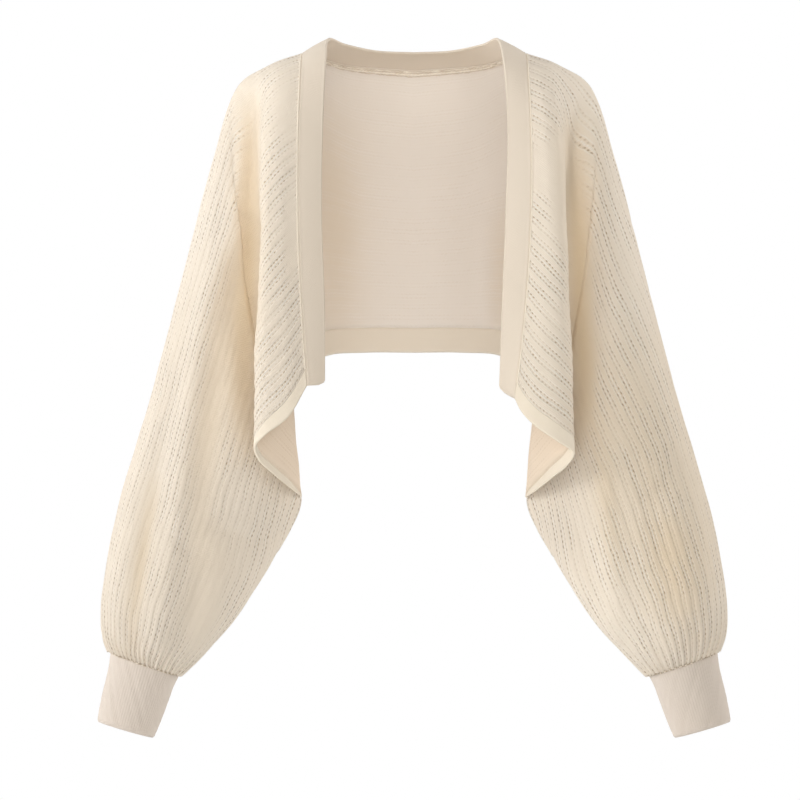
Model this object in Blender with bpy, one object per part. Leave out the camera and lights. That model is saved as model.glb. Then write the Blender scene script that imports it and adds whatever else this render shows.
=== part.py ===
"""Cropped open cardigan in a sideways rib, filled out as it is worn.

The garment hangs from the shoulders: +Z is up, the wearer faces -Y, and the origin is between the
shoulders, level with them. Each cloth wall is a loft through sections. A section runs across the
ribs, from the shoulder and over-arm line down to the hem or the underarm seam, and the ribs run from
section to section, from the front band or the middle of the back to the cuff.
Tables and sizes are in millimetres. "out" is the distance from the middle of the body to the side.
"""
import math

import bmesh
import bpy
import numpy as np

MM = 0.001

# Walls
KNIT_THICKNESS = 2.0
BAND_THICKNESS = 2.8
HEM_THICKNESS = 2.4
CUFF_THICKNESS = 2.2
SEAM_GAP = 0.3
CUFF_GAP = 0.4

# Rib
RIBS_PER_PANEL = 22
RIB_HEIGHT = 1.0
GATHER_HEIGHT = 1.7
GATHER_SECTIONS = 3
CUFF_RIBS = 72
CUFF_RIB_HEIGHT = 0.45

# Neck band and cuff
BAND_CORNER_RADIUS = 7.0
BAND_CROWN = 0.8
CUFF_TOP_HALF_WIDTH = 34.8
CUFF_END_HALF_WIDTH = 28.4
CUFF_END_HALF_DEPTH = 21.0
CUFF_END_CENTRE = (288.5, -669.5)
CUFF_END_ACROSS = (0.96, 0.281)

SIDES = {"right": -1.0, "left": 1.0}

# The over-arm line, in the plane y = 0: (out, z) from the neck point to the cuff.
OVER_ARM = (
    (112, 5), (135, -2.5), (151, -10), (165.5, -17.5), (174.5, -26), (181.5, -39), (188.5, -59),
    (194.5, -83), (205.5, -121), (227.5, -207), (263, -342), (287, -424), (300, -473), (308, -519),
    (311, -545), (310.5, -571), (303, -592),
)

# The underarm seam, in the plane y = 0: (out, z) from the underarm point to the cuff.
UNDER_ARM = (
    (113.5, -439), (116, -451), (125, -470), (135, -487), (150, -512), (180, -559), (205, -587),
    (222, -604), (235, -615),
)

# The back neck seam: (out, y, z) from the middle of the back to the neck point.
BACK_NECK = ((0, 62, -6.6), (24, 61.2, -6.2), (57, 54.2, -3.6), (87, 36, 2), (112, 0, 5))

# Sections of the fronts, from the band to the root of the waterfall fold.
# over: length along the over-arm line; then the deepest point and the hem point as (out, depth, z);
# curl: how far the hem turns in, as a share of a quarter turn; hem: width of the hem band there;
# steps: mesh steps to the next section.
FRONT_SECTIONS = {
    "right": (
        # name, over, middle, hem point, curl, hem, steps
        ("band seam", 0, (114, 96, -188), (105.5, 96, -326), 0.0, 17, 2),
        ("front middle", 13, (133, 101, -196), (124, 100, -357), 0.0, 17, 1),
        ("crest front", 24, (146, 99, -202), (147, 98, -375), 0.0, 13, 1),
        ("crest edge", 32, (151, 89, -206), (157, 89, -387), 0.0, 9, 1),
        ("crest back", 39, (147, 79, -210), (153, 78, -400), 0.0, 8, 1),
        ("fold middle", 46, (141, 72, -213), (139, 59, -414), 0.0, 8, 1),
        ("root front", 53, (137, 65, -216), (125, 36, -426), 0.1, 7, 1),
        ("root edge", 60, (134, 57, -219), (117, 18, -433), 0.2, 4.5, 1),
        ("root back", 67, (138, 48, -222), (113, 7, -436), 0.5, 1.2, 1),
    ),
    "left": (
        ("band seam", 0, (114, 96, -190), (99, 96, -339), 0.0, 18, 1),
        ("band side", 6, (122, 99, -193), (105, 98, -351), 0.0, 18, 1),
        ("front middle", 13, (133, 102, -198), (118, 101, -365), 0.0, 17, 1),
        ("crest front", 24, (146, 100, -204), (141, 99, -381), 0.0, 17, 1),
        ("crest edge", 32, (150, 90, -208), (157, 90, -393), 0.0, 15, 1),
        ("crest back", 39, (146, 80, -212), (151, 79, -405), 0.0, 13, 1),
        ("fold middle", 46, (140, 72, -215), (137, 59, -417), 0.0, 11, 1),
        ("root front", 53, (136, 65, -218), (123, 36, -429), 0.1, 8, 1),
        ("root edge", 60, (132, 57, -221), (115, 18, -435), 0.2, 5, 1),
        ("root back", 67, (137, 48, -224), (112, 7, -437), 0.5, 1.2, 1),
    ),
}

# Sections of the back, from the middle to the side. neck: share of the back neck seam, or over:
# length along the over-arm line.
BACK_SECTIONS = (
    # name, neck, over, middle, hem point, curl, hem, steps
    ("middle back", 0.0, None, (0, 97, -150), (0, 96, -292), 0.0, 25, 3),
    ("shoulder blade", 0.5, None, (52, 98, -152), (50, 95, -292), 0.0, 25, 3),
    ("back side", 1.0, 0, (98, 93, -158), (93, 90, -296), 0.0, 25, 2),
    ("back drape", None, 28, (130, 87, -170), (118, 80, -311), 0.4, 22, 2),
    ("back turn", None, 48, (146, 81, -192), (128, 54, -340), 1.0, 14, 3),
    ("back fold", None, 61, (154, 74, -212), (124, 28, -384), 1.0, 7, 1),
    ("back underarm", None, 70, (160, 68, -226), (117, 9, -425), 1.0, 1.2, 1),
)

# Sections of the sleeve. over, under: length along the over-arm line and the underarm seam;
# front, back: depth of the two halves; lean: how far the deepest point lies outwards of the middle;
# tuck: 1 where the front's lower half is round, more where it lies flatter towards the underarm seam.
SLEEVE_SECTIONS = (
    # name, over, under, front, back, lean, tuck, steps
    ("underarm", 79, 2, 40, 61, 18, 1.8, 1),
    ("armhole", 96, 12, 43, 58, 17, 1.8, 1),
    ("upper arm", 140, 26, 48, 55, 17, 1.6, 1),
    ("below shoulder", 195, 43, 52, 54, 15, 1.4, 1),
    ("above elbow", 267, 64, 52, 53, 16, 1.2, 1),
    ("elbow", 342, 88, 50, 51, 16, 1.1, 1),
    ("forearm", 417, 114, 49, 49, 15, 1.0, 1),
    ("low forearm", 492, 142, 48, 48, 12, 1.0, 2),
    ("balloon", 554, 169, 47, 47, 8, 1.0, 2),
    ("low balloon", 606, 191, 42, 42, 4, 1.0, 2),
    ("gathers", 640, 207, 32, 32, 1, 1.0, 2),
    ("cuff seam", 660, 218, 25, 25, 0, 1.0, 0),
)

# Free edge of the neck band. at: share of the seam from the band's end to the neck point (0 to 1) and
# on to the middle of the back (1 to 2); then the edge point as (out, y, z).
BAND_EDGES = {
    "right": (
        (0.00, (88, -87, -325)), (0.25, (88, -89, -253)), (0.50, (91, -88, -152)),
        (0.75, (90, -73, -72)), (0.90, (87, -38, -2)), (1.00, (84, -2, 21)),
        (1.30, (68, 26, 17.3)), (1.65, (38, 38, 11.3)), (2.00, (0, 42, 9.8)),
    ),
    "left": (
        (0.00, (84, -82, -330)), (0.25, (86, -88, -258)), (0.50, (90, -88, -154)),
        (0.75, (92, -73, -72)), (0.90, (88, -38, -2)), (1.00, (82, -2, 21)),
        (1.30, (68, 26, 17.3)), (1.65, (38, 38, 11.3)), (2.00, (0, 42, 9.8)),
    ),
}
BAND_STEPS_ACROSS = 3
HEM_STEPS_ACROSS = 2

# Columns of a panel's plain inner face, counted in half ribs: closer where the section bends.
INNER_COLUMNS = (0, 2, 4, 6, 8, 12, 16, 20, 24, 28, 32, 36, 38, 40, 42, 44)
CUFF_INNER_COLUMNS = 24
SECTION_SAMPLES = 161

MATERIALS = {
    # name: colour, roughness
    "pointelle_rib": ((0.84, 0.74, 0.61), 0.92),
    "smooth_band": ((0.80, 0.70, 0.58), 0.9),
    "fine_rib": ((0.76, 0.67, 0.58), 0.9),
}


def clear_scene():
    """Remove every object that the opened file holds."""
    for old in list(bpy.data.objects):
        bpy.data.objects.remove(old, do_unlink=True)


def cloth_material(name):
    """A matt cloth material from the table."""
    colour, roughness = MATERIALS[name]
    material = bpy.data.materials.new(name)
    material.use_nodes = True
    shader = material.node_tree.nodes["Principled BSDF"]
    shader.inputs["Base Color"].default_value = (*colour, 1.0)
    shader.inputs["Roughness"].default_value = roughness
    shader.inputs["Metallic"].default_value = 0.0
    return material


def unit(vectors):
    """Vectors scaled to a length of one."""
    return vectors / np.linalg.norm(vectors, axis=-1, keepdims=True)


def tangents_at(rows):
    """Direction of travel at each row, per root-length step, and those steps (centripetal spline)."""
    steps = np.sqrt(np.linalg.norm(np.diff(rows, axis=0), axis=-1, keepdims=True))
    slopes = np.diff(rows, axis=0) / steps
    inner = (slopes[:-1] * steps[1:] + slopes[1:] * steps[:-1]) / (steps[:-1] + steps[1:])
    return np.concatenate([slopes[:1], inner, slopes[-1:]]), steps


def spline(rows, places):
    """Cubic curves through rows of points, read at places counted in rows."""
    rows = np.asarray(rows, float)
    directions, steps = tangents_at(rows)
    places = np.asarray(places, float)
    index = np.clip(places.astype(int), 0, len(rows) - 2)
    t = (places - index).reshape((-1,) + (1,) * (rows.ndim - 1))
    start, end = rows[index], rows[index + 1]
    start_pull = directions[index] * steps[index]
    end_pull = directions[index + 1] * steps[index]
    return (
        start * (2 * t**3 - 3 * t**2 + 1) + start_pull * (t**3 - 2 * t**2 + t)
        + end * (3 * t**2 - 2 * t**3) + end_pull * (t**3 - t**2)
    )


def lengths_along(points):
    """Length from the first point to each point of a line."""
    steps = np.linalg.norm(np.diff(points, axis=0), axis=-1)
    return np.concatenate([[0.0], np.cumsum(steps)])


def read_line(points, lengths):
    """Points of a line at given lengths from its start."""
    run = lengths_along(points)
    return np.stack([np.interp(lengths, run, points[:, axis]) for axis in range(3)], axis=-1)


def seam_line(table):
    """A fine smooth line through a table of (out, z) or (out, y, z) rows."""
    rows = np.array([(row[0], row[1] if len(row) == 3 else 0.0, row[-1]) for row in table], float)
    return spline(rows, np.linspace(0, len(rows) - 1, 40 * len(rows)))


def section_line(top, middle, bottom, curl, tuck=1.0):
    """One section of cloth: a quarter ellipse from the top line out to the deepest point, then on to
    the bottom, straight down for curl 0 and as a second quarter ellipse for curl 1. A tuck over 1
    draws the lower part in sooner. From the front, the three points lie on one parabola."""
    turn = np.linspace(0, math.pi / 2, SECTION_SAMPLES)
    share = np.linspace(0, 1, SECTION_SAMPLES)
    drop = curl * np.sin(turn) + (1 - curl) * share
    draw_in = curl * (1 - np.cos(turn)**tuck) + (1 - curl) * share**2
    upper_z = top[2] + (middle[2] - top[2]) * (1 - np.cos(turn))
    lower_z = middle[2] + (bottom[2] - middle[2]) * drop
    upper_y = top[1] + (middle[1] - top[1]) * np.sin(turn)
    lower_y = middle[1] + (bottom[1] - middle[1]) * draw_in
    z = np.concatenate([upper_z, lower_z[1:]])
    y = np.concatenate([upper_y, lower_y[1:]])
    slope = (middle[0] - top[0]) / (middle[2] - top[2])
    next_slope = (bottom[0] - middle[0]) / (bottom[2] - middle[2])
    bend = (next_slope - slope) / (bottom[2] - top[2])
    x = top[0] + slope * (z - top[2]) + bend * (z - top[2]) * (z - middle[2])
    return np.stack([x, y, z], axis=-1)


def sleeve_lines(facing):
    """The sleeve's sections on one half, -1 the front and +1 the back, with their places."""
    over, under = seam_line(OVER_ARM), seam_line(UNDER_ARM)
    lines = []
    for _, over_at, under_at, front, back, lean, tuck, steps in SLEEVE_SECTIONS:
        top, bottom = read_line(over, [over_at])[0], read_line(under, [under_at])[0]
        middle = (top + bottom) / 2 + np.array([lean, 0.0, 0.0])
        middle[1] = -front if facing < 0 else back
        tuck = tuck if facing < 0 else 1.0
        lines.append({"line": section_line(top, middle, bottom, 1.0, tuck), "over": over_at,
                      "under": under_at, "hem": 0.0, "steps": steps})
    return lines


def front_lines(side_name):
    """All sections of one front and its half sleeve, from the band seam to the cuff seam."""
    over = seam_line(OVER_ARM)
    lines = []
    for _, over_at, middle, hem_point, curl, hem, steps in FRONT_SECTIONS[side_name]:
        top = read_line(over, [over_at])[0]
        middle = (middle[0], -middle[1], middle[2])
        bottom = (hem_point[0], -hem_point[1], hem_point[2])
        lines.append({"line": section_line(top, middle, bottom, curl), "over": over_at,
                      "under": None, "hem": hem, "steps": steps})
    return lines + sleeve_lines(-1)


def back_lines():
    """All sections of half the back and its half sleeve, from the middle back to the cuff seam."""
    over, neck = seam_line(OVER_ARM), seam_line(BACK_NECK)
    neck_length = lengths_along(neck)[-1]
    lines = []
    for _, neck_at, over_at, middle, hem_point, curl, hem, steps in BACK_SECTIONS:
        if over_at is None:
            top = read_line(neck, [neck_at * neck_length])[0]
        else:
            top = read_line(over, [over_at])[0]
        lines.append({"line": section_line(top, middle, hem_point, curl), "over": over_at,
                      "under": None, "hem": hem, "steps": steps})
    return lines + sleeve_lines(1)


def places_of(lines):
    """Mesh rows, counted in sections: each section's own steps to the next."""
    places = [0.0]
    for index, section in enumerate(lines[:-1]):
        steps = section["steps"]
        places.extend(index + (step + 1) / steps for step in range(steps))
    return np.array(places)


def cloth_grid(lines, places, across, part):
    """Points of a cloth surface. Rows follow the places and columns follow across, from 0 at the top
    edge of the piece to 1 at its lower edge. part is "panel" or "hem": the hem band takes the last
    millimetres of each section, and the panel takes the rest."""
    rows = []
    for section in lines:
        length = lengths_along(section["line"])[-1]
        edge = length - section["hem"]
        lengths = across * edge if part == "panel" else edge + across * (length - edge)
        rows.append(read_line(section["line"], lengths))
    grid = spline(np.array(rows), places)
    if part == "panel":
        over, under = seam_line(OVER_ARM), seam_line(UNDER_ARM)
        pull_to_seam(grid, lines, places, "over", over, 0, (1 - across)**8)
        pull_to_seam(grid, lines, places, "under", under, -1, across**8)
    return grid


def pull_to_seam(grid, lines, places, key, seam, column, weights):
    """Move the edge column onto the seam line that it is sewn along, and its neighbours less."""
    known = [index for index, section in enumerate(lines) if section[key] is not None]
    rows = np.flatnonzero((places >= known[0]) & (places <= known[-1]))
    lengths = np.interp(places[rows], known, [lines[index][key] for index in known])
    shift = read_line(seam, lengths) - grid[rows, column]
    grid[rows] += shift[:, None, :] * weights[None, :, None]


def surface_normals(grid):
    """Unit normals of a grid of points, down the columns and then across the rows."""
    return unit(np.cross(np.gradient(grid, axis=1), np.gradient(grid, axis=0)))


def level_seam_normals(normals, lines, places, axis_of_cuff):
    """Turn the normals at the sewn edges so that the two walls there meet face to face."""
    shoulder = next(index for index, section in enumerate(lines) if section["over"] is not None)
    underarm = next(index for index, section in enumerate(lines) if section["under"] is not None)
    for column, first in ((0, shoulder), (-1, underarm)):
        rows = places >= first
        normals[rows, column, 1] = 0.0
        normals[rows, column] = unit(normals[rows, column])
    last = normals[-1] - np.outer(normals[-1] @ axis_of_cuff, axis_of_cuff)
    normals[-1] = unit(last)
    return normals


def cuff_frame():
    """The cuff's top ring on the +X side: centre, direction across it and axis down the arm."""
    over, under = seam_line(OVER_ARM), seam_line(UNDER_ARM)
    over_at, under_at = SLEEVE_SECTIONS[-1][1:3]
    top, bottom = read_line(over, [over_at])[0], read_line(under, [under_at])[0]
    across = unit(top - bottom)
    axis = np.array([-across[2], 0.0, across[0]])
    return (top + bottom) / 2, across, axis * np.sign(-axis[2])


def rib_heights(count, places, last_section):
    """Height of the rib over the wall at each half rib, rising to the gathers at the cuff."""
    ridge = (np.arange(count) % 2).astype(float)
    near_cuff = np.clip((places - (last_section - GATHER_SECTIONS)) / GATHER_SECTIONS, 0, 1)
    height = RIB_HEIGHT + (GATHER_HEIGHT - RIB_HEIGHT) * near_cuff
    return height[:, None] * ridge[None, :]


class Wall:
    """A closed cloth wall: an outer grid, a plain inner grid on fewer columns, and the rims."""

    def __init__(self, outer, inner, columns, ring=False):
        self.rows, self.width = outer.shape[:2]
        self.columns = list(columns)
        self.ring = ring
        self.points = np.concatenate([outer.reshape(-1, 3), inner.reshape(-1, 3)])
        self.faces = []

    def outer_at(self, row, column):
        """Number of a point on the outer face."""
        return row * self.width + column % self.width

    def inner_at(self, row, place):
        """Number of a point on the inner face; place counts the inner columns."""
        return self.rows * self.width + row * len(self.columns) + place % len(self.columns)

    def spans(self):
        """Pairs of neighbouring inner places with the outer columns that they span."""
        places = range(len(self.columns) if self.ring else len(self.columns) - 1)
        for place in places:
            end = self.columns[place + 1] if place + 1 < len(self.columns) else self.width
            yield place, self.columns[place], end

    def add_skins(self):
        """Faces of the outer and the inner grid."""
        width = self.width if self.ring else self.width - 1
        for row in range(self.rows - 1):
            for column in range(width):
                self.faces.append((self.outer_at(row, column), self.outer_at(row, column + 1),
                                   self.outer_at(row + 1, column + 1), self.outer_at(row + 1, column)))
            for place, _, _ in self.spans():
                self.faces.append((self.inner_at(row, place), self.inner_at(row + 1, place),
                                   self.inner_at(row + 1, place + 1), self.inner_at(row, place + 1)))

    def add_end_rim(self, row):
        """Faces that close the wall along its first or last row, as a fan from each inner point."""
        for place, start, end in self.spans():
            middle = (start + end) // 2
            for column in range(start, end):
                hub = place if column < middle else place + 1
                self.faces.append((self.outer_at(row, column), self.outer_at(row, column + 1),
                                   self.inner_at(row, hub)))
            self.faces.append((self.outer_at(row, middle), self.inner_at(row, place + 1),
                               self.inner_at(row, place)))

    def add_side_rims(self):
        """Faces that close the wall along its first and last column."""
        last = len(self.columns) - 1
        for row in range(self.rows - 1):
            for column, place in ((0, 0), (self.width - 1, last)):
                self.faces.append((self.outer_at(row, column), self.outer_at(row + 1, column),
                                   self.inner_at(row, place)))
                self.faces.append((self.outer_at(row + 1, column), self.inner_at(row + 1, place),
                                   self.inner_at(row, place)))

    def build(self, name, material):
        """The wall as an object, its faces turned outwards."""
        self.add_skins()
        self.add_end_rim(0)
        self.add_end_rim(self.rows - 1)
        if not self.ring:
            self.add_side_rims()
        mesh = bpy.data.meshes.new(name)
        mesh.from_pydata((self.points * MM).tolist(), [], self.faces)
        shape = bmesh.new()
        shape.from_mesh(mesh)
        bmesh.ops.recalc_face_normals(shape, faces=shape.faces)
        shape.to_mesh(mesh)
        shape.free()
        mesh.materials.append(material)
        mesh.shade_smooth()
        piece = bpy.data.objects.new(name, mesh)
        bpy.context.scene.collection.objects.link(piece)
        return piece


def mirrored(grid, side):
    """The +X side's points on the given side."""
    return grid * np.array([side, 1.0, 1.0])


def cloth_surfaces(lines, facing):
    """Middle surfaces and outward normals of one panel and its hem band on the +X side, and the
    panel's mesh rows. The two share their normals along the seam between them."""
    places = places_of(lines)
    across = np.linspace(0, 1, 2 * RIBS_PER_PANEL + 1)
    panel = cloth_grid(lines, places, across, "panel")
    panel[..., 1] += facing * SEAM_GAP / 2
    _, _, axis = cuff_frame()
    panel_normals = level_seam_normals(-facing * surface_normals(panel), lines, places, axis)
    first_sleeve = next(index for index, section in enumerate(lines) if not section["hem"])
    hem_places = places[places <= first_sleeve - 1]
    across_hem = np.linspace(0, 1, HEM_STEPS_ACROSS + 1)
    hem = cloth_grid(lines[:first_sleeve], hem_places, across_hem, "hem")
    hem[..., 1] += facing * SEAM_GAP / 2
    count = len(hem_places)
    joint = np.concatenate([panel[:count, -3:], hem[:, 1:]], axis=1)
    normals = -facing * surface_normals(joint)
    panel_normals[:count, -1] = normals[:, 2]
    aside = unit(np.cross(normals[:, 2], unit(np.gradient(hem[:, 0], axis=0))))
    aside *= np.sign(np.sum(aside * (hem[:, 1] - hem[:, 0]), axis=-1, keepdims=True))
    if facing > 0:
        width = np.interp(hem_places, range(first_sleeve),
                          [section["hem"] for section in lines[:first_sleeve]])
        hem = panel[:count, -1:] + aside[:, None] * (width[:, None] * across_hem)[..., None]
        normals[:, 2:] = normals[:, 2:3]
    hem[:, 0] += aside * SEAM_GAP
    return panel, panel_normals, places, hem, normals[:, 2:]


def panel_faces(lines, facing):
    """Outer face with its raised ribs, and plain inner face, of one panel on the +X side."""
    grid, normals, places, _, _ = cloth_surfaces(lines, facing)
    ribs = rib_heights(grid.shape[1], places, len(lines) - 1)
    outer = grid + normals * (KNIT_THICKNESS / 2 + ribs)[..., None]
    inner = (grid - normals * KNIT_THICKNESS / 2)[:, list(INNER_COLUMNS)]
    return outer, inner


def make_front(side_name, material):
    """One front with the front half of its sleeve."""
    outer, inner = panel_faces(front_lines(side_name), -1)
    side = SIDES[side_name]
    wall = Wall(mirrored(outer, side), mirrored(inner, side), INNER_COLUMNS)
    return wall.build(f"{side_name}_front", material)


def both_sides(grid):
    """A half grid that starts at the middle of the body, joined to its mirror image."""
    return np.concatenate([mirrored(grid, -1.0)[:0:-1], grid])


def make_back(material):
    """The back with the back half of both sleeves, from cuff to cuff."""
    outer, inner = panel_faces(back_lines(), 1)
    outer[0, :, 0] = 0.0
    inner[0, :, 0] = 0.0
    return Wall(both_sides(outer), both_sides(inner), INNER_COLUMNS).build("back", material)


def hem_faces(lines, facing):
    """Outer and inner face of the hem band on the +X side, down to its point at the underarm."""
    _, _, _, grid, normals = cloth_surfaces(lines, facing)
    return grid + normals * HEM_THICKNESS / 2, grid - normals * HEM_THICKNESS / 2


def make_front_hem(side_name, material):
    """The hem band of one front."""
    outer, inner = hem_faces(front_lines(side_name), -1)
    side = SIDES[side_name]
    columns = range(HEM_STEPS_ACROSS + 1)
    return Wall(mirrored(outer, side), mirrored(inner, side), columns).build(
        f"{side_name}_hem_band", material)


def make_back_hem(material):
    """The hem band of the back, from one underarm to the other."""
    outer, inner = hem_faces(back_lines(), 1)
    outer[0, :, 0] = 0.0
    inner[0, :, 0] = 0.0
    columns = range(HEM_STEPS_ACROSS + 1)
    return Wall(both_sides(outer), both_sides(inner), columns).build("back_hem_band", material)


def band_seam(side_name):
    """The band's seam on the +X side, from its end to the middle of the back: points, normals of the
    cloth there, and places as in the table of edges. Its points are the panels' own edge points."""
    front, front_normals, _, hem, hem_normals = cloth_surfaces(front_lines(side_name), -1)
    front_line = np.concatenate([front[0, ::2], hem[0, 1:]])[::-1]
    front_turn = np.concatenate([front_normals[0, ::2], hem_normals[0, 1:]])[::-1]
    back, back_normals, places, _, _ = cloth_surfaces(back_lines(), 1)
    neck_end = next(index for index, row in enumerate(BACK_SECTIONS) if row[1] == 1.0)
    rows = np.flatnonzero(places < neck_end)[::-1]
    neck_line = np.concatenate([front_line[-1:], back[rows, 0]])
    front_share = lengths_along(front_line)
    neck_share = lengths_along(neck_line)
    at = np.concatenate([front_share / front_share[-1], 1 + neck_share[1:] / neck_share[-1]])
    seam = np.concatenate([front_line, neck_line[1:]])
    return seam, np.concatenate([front_turn, back_normals[rows, 0]]), at


def band_half(side_name):
    """Outer and inner face of half the neck band on the +X side, from its end to the middle back."""
    seam, seam_normals, at = band_seam(side_name)
    table = BAND_EDGES[side_name]
    edge = spline([row[1] for row in table], np.interp(at, [row[0] for row in table],
                                                      np.arange(len(table))))
    travel = unit(np.gradient(seam, axis=0))
    inwards = unit(np.cross(travel, seam_normals))
    inwards *= np.sign(np.sum(inwards * (edge - seam), axis=-1, keepdims=True))
    start = seam + inwards * SEAM_GAP
    from_end = lengths_along(seam)
    lift = np.clip(1 - from_end / BAND_CORNER_RADIUS, 0, 1)
    width = np.linalg.norm(edge - start, axis=-1)
    reach = 1 - BAND_CORNER_RADIUS / width * (1 - np.sqrt(1 - lift**2))
    across = np.linspace(0, 1, BAND_STEPS_ACROSS + 1)
    grid = start[:, None] + (edge - start)[:, None] * (across[None, :] * reach[:, None])[..., None]
    normals = unit(np.cross(np.gradient(grid, axis=0), np.gradient(grid, axis=1)))
    normals *= np.sign(np.sum(normals[:, :1] * seam_normals[:, None], axis=-1, keepdims=True))
    normals[:, 0] = seam_normals
    crown = BAND_CROWN * np.sin(np.pi * across)[None, :, None]
    grid = grid + normals * crown
    normals[-1, :, 0] = 0.0
    normals = unit(normals)
    return grid + normals * BAND_THICKNESS / 2, grid - normals * BAND_THICKNESS / 2


def make_neck_band(material):
    """The band up the right front, round the back neck and down the left front."""
    right_outer, right_inner = band_half("right")
    left_outer, left_inner = band_half("left")
    outer = np.concatenate([mirrored(right_outer, -1.0), left_outer[-2::-1]])
    inner = np.concatenate([mirrored(right_inner, -1.0), left_inner[-2::-1]])
    middle = len(right_outer) - 1
    outer[middle, :, 0] = 0.0
    inner[middle, :, 0] = 0.0
    return Wall(outer, inner, range(BAND_STEPS_ACROSS + 1)).build("neck_band", material)


def make_cuff(side_name, material):
    """A long cuff: an elliptical tube that narrows to the wrist, with fine ribs along it."""
    top_centre, top_across, axis = cuff_frame()
    top_centre = top_centre + axis * CUFF_GAP
    end_centre = np.array([CUFF_END_CENTRE[0], 0.0, CUFF_END_CENTRE[1]])
    end_across = np.array([CUFF_END_ACROSS[0], 0.0, CUFF_END_ACROSS[1]])
    depth_axis = np.array([0.0, 1.0, 0.0])
    count = 2 * CUFF_RIBS
    turn = np.linspace(0, 2 * math.pi, count, endpoint=False)[:, None]
    top_depth = SLEEVE_SECTIONS[-1][3]
    top_size = (CUFF_TOP_HALF_WIDTH, top_depth)
    end_size = (CUFF_END_HALF_WIDTH, CUFF_END_HALF_DEPTH)
    rings = []
    for centre, across, (width, depth) in ((top_centre, top_across, top_size),
                                           (end_centre, end_across, end_size)):
        for thickness, ridge in ((CUFF_THICKNESS / 2, CUFF_RIB_HEIGHT), (-CUFF_THICKNESS / 2, 0.0)):
            grow = thickness + ridge * (np.arange(count) % 2)[:, None]
            rings.append(centre + across * (width + grow) * np.cos(turn)
                         + depth_axis * (depth + grow) * np.sin(turn))
    columns = range(0, count, count // CUFF_INNER_COLUMNS)
    side = SIDES[side_name]
    outer = mirrored(np.stack([rings[0], rings[2]]), side)
    inner = mirrored(np.stack([rings[1], rings[3]])[:, list(columns)], side)
    return Wall(outer, inner, columns, ring=True).build(f"{side_name}_cuff", material)


def main():
    """Build every piece of the cardigan."""
    clear_scene()
    rib, smooth, fine = (cloth_material(name) for name in MATERIALS)
    make_back(rib)
    make_back_hem(smooth)
    make_neck_band(smooth)
    for side_name in SIDES:
        make_front(side_name, rib)
        make_front_hem(side_name, smooth)
        make_cuff(side_name, fine)


main()
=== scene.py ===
"""Cropped open cardigan in a sideways pointelle rib, as it hangs when it is worn.

Each panel is the surface that its solid was lofted from, worked out again on a finer grid, with the
rib raised in it, soft folds pressed into it and the eyelets in its material. The bands, the cuffs and
the linked seams are profiles carried along the panels' own edges. Tables are in millimetres.
"""
import math

import bmesh
import bpy
import mathutils
import numpy as np
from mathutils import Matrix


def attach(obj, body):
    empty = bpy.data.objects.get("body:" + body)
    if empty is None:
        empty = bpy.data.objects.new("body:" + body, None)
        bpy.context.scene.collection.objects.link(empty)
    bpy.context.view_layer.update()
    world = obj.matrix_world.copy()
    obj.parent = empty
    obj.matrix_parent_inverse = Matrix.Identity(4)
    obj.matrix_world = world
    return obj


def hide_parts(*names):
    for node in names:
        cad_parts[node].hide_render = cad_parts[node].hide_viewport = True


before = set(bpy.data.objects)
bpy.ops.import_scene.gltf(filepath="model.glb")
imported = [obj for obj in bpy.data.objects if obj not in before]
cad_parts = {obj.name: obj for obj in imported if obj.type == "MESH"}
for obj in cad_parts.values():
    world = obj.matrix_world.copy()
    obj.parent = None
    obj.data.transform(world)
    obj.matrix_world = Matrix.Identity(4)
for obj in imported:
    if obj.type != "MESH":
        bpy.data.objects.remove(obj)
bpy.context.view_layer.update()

MM = 0.001

# Walls
KNIT_THICKNESS = 2.0
BAND_THICKNESS = 2.8
HEM_THICKNESS = 2.4
CUFF_THICKNESS = 2.2
SEAM_TUCK = 0.3   # how far a band reaches into the panel at its seam
SEAM_PULL_POWER = 8   # how fast a seam's pull dies away across the panel
SEAM_FADE_COLUMNS = 5   # mesh columns over which two walls turn face to face at their seam

# Rib. Places across it are counted in repeats from the furrow, and shares are of its height.
RIBS_PER_PANEL = 25
RIB_HEIGHT = 0.75
RIB_SIDE = (0.13, 0.33)
FURROW_THREAD_HEIGHT = 0.35
FURROW_THREAD_SPREAD = 0.09
RIB_UNEVEN_SHARE = 0.18
RIB_UNEVEN_LENGTH = 90.0
RIB_INSIDE_SHARE = 0.2
QUIET_LOSS = 0.85
GATHER_HEIGHT = 2.9
GATHER_SECTIONS = 3.0
GATHER_REACH = 41.0
EDGE_FADE = 0.04   # share of a panel's width over which folds and wandering fade at its seams
FRONT_EYELET_PITCH = 4.2
SLEEVE_EYELET_PITCH = 5.2
CUFF_RIBS = 76
CUFF_RIB_HEIGHT = 0.25

# Pointelle: places across are counted in repeats from the furrow, and along the rib in eyelets
EYELET_ASIDE = 0.175
EYELET_HALF_WIDTH = 0.062
EYELET_HALF_LENGTH = 0.28
EYELET_LAG = 0.3
OUTER_THREAD_ASIDE = 0.29
WALES_PER_RIB = 7.0
COURSES_PER_EYELET = 3.0
PLAIN_WALE = 1.5   # millimetres, on the smooth bands
PLAIN_COURSE = 1.2

# The ribs' wandering to the sides: slow and wide, and quick and slight from rib to rib
WAVER = 1.1
WAVER_LENGTH = 120.0
QUIVER = 0.3
QUIVER_LENGTH = 45.0

# Soft swelling of the worn cloth
SWELL_HEIGHT = 0.9
SWELL_WAVES = 5
SWELL_LENGTHS = (34.0, 80.0)

# Fineness of lines and meshes
SEAM_POINTS_PER_ROW = 40
SECTION_POINTS = 161
FOLD_POINTS_PER_ROW = 8
COLUMNS_PER_RIB = 8
INNER_EVERY = 5
FRONT_ROW_SPACING = 2.1
BACK_ROW_SPACING = 4.8
HEM_COLUMNS = 13
BAND_COLUMNS = 25
CUFF_COLUMNS_PER_RIB = 6
CUFF_ROWS = 34
THREAD_SIDES = 8

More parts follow.
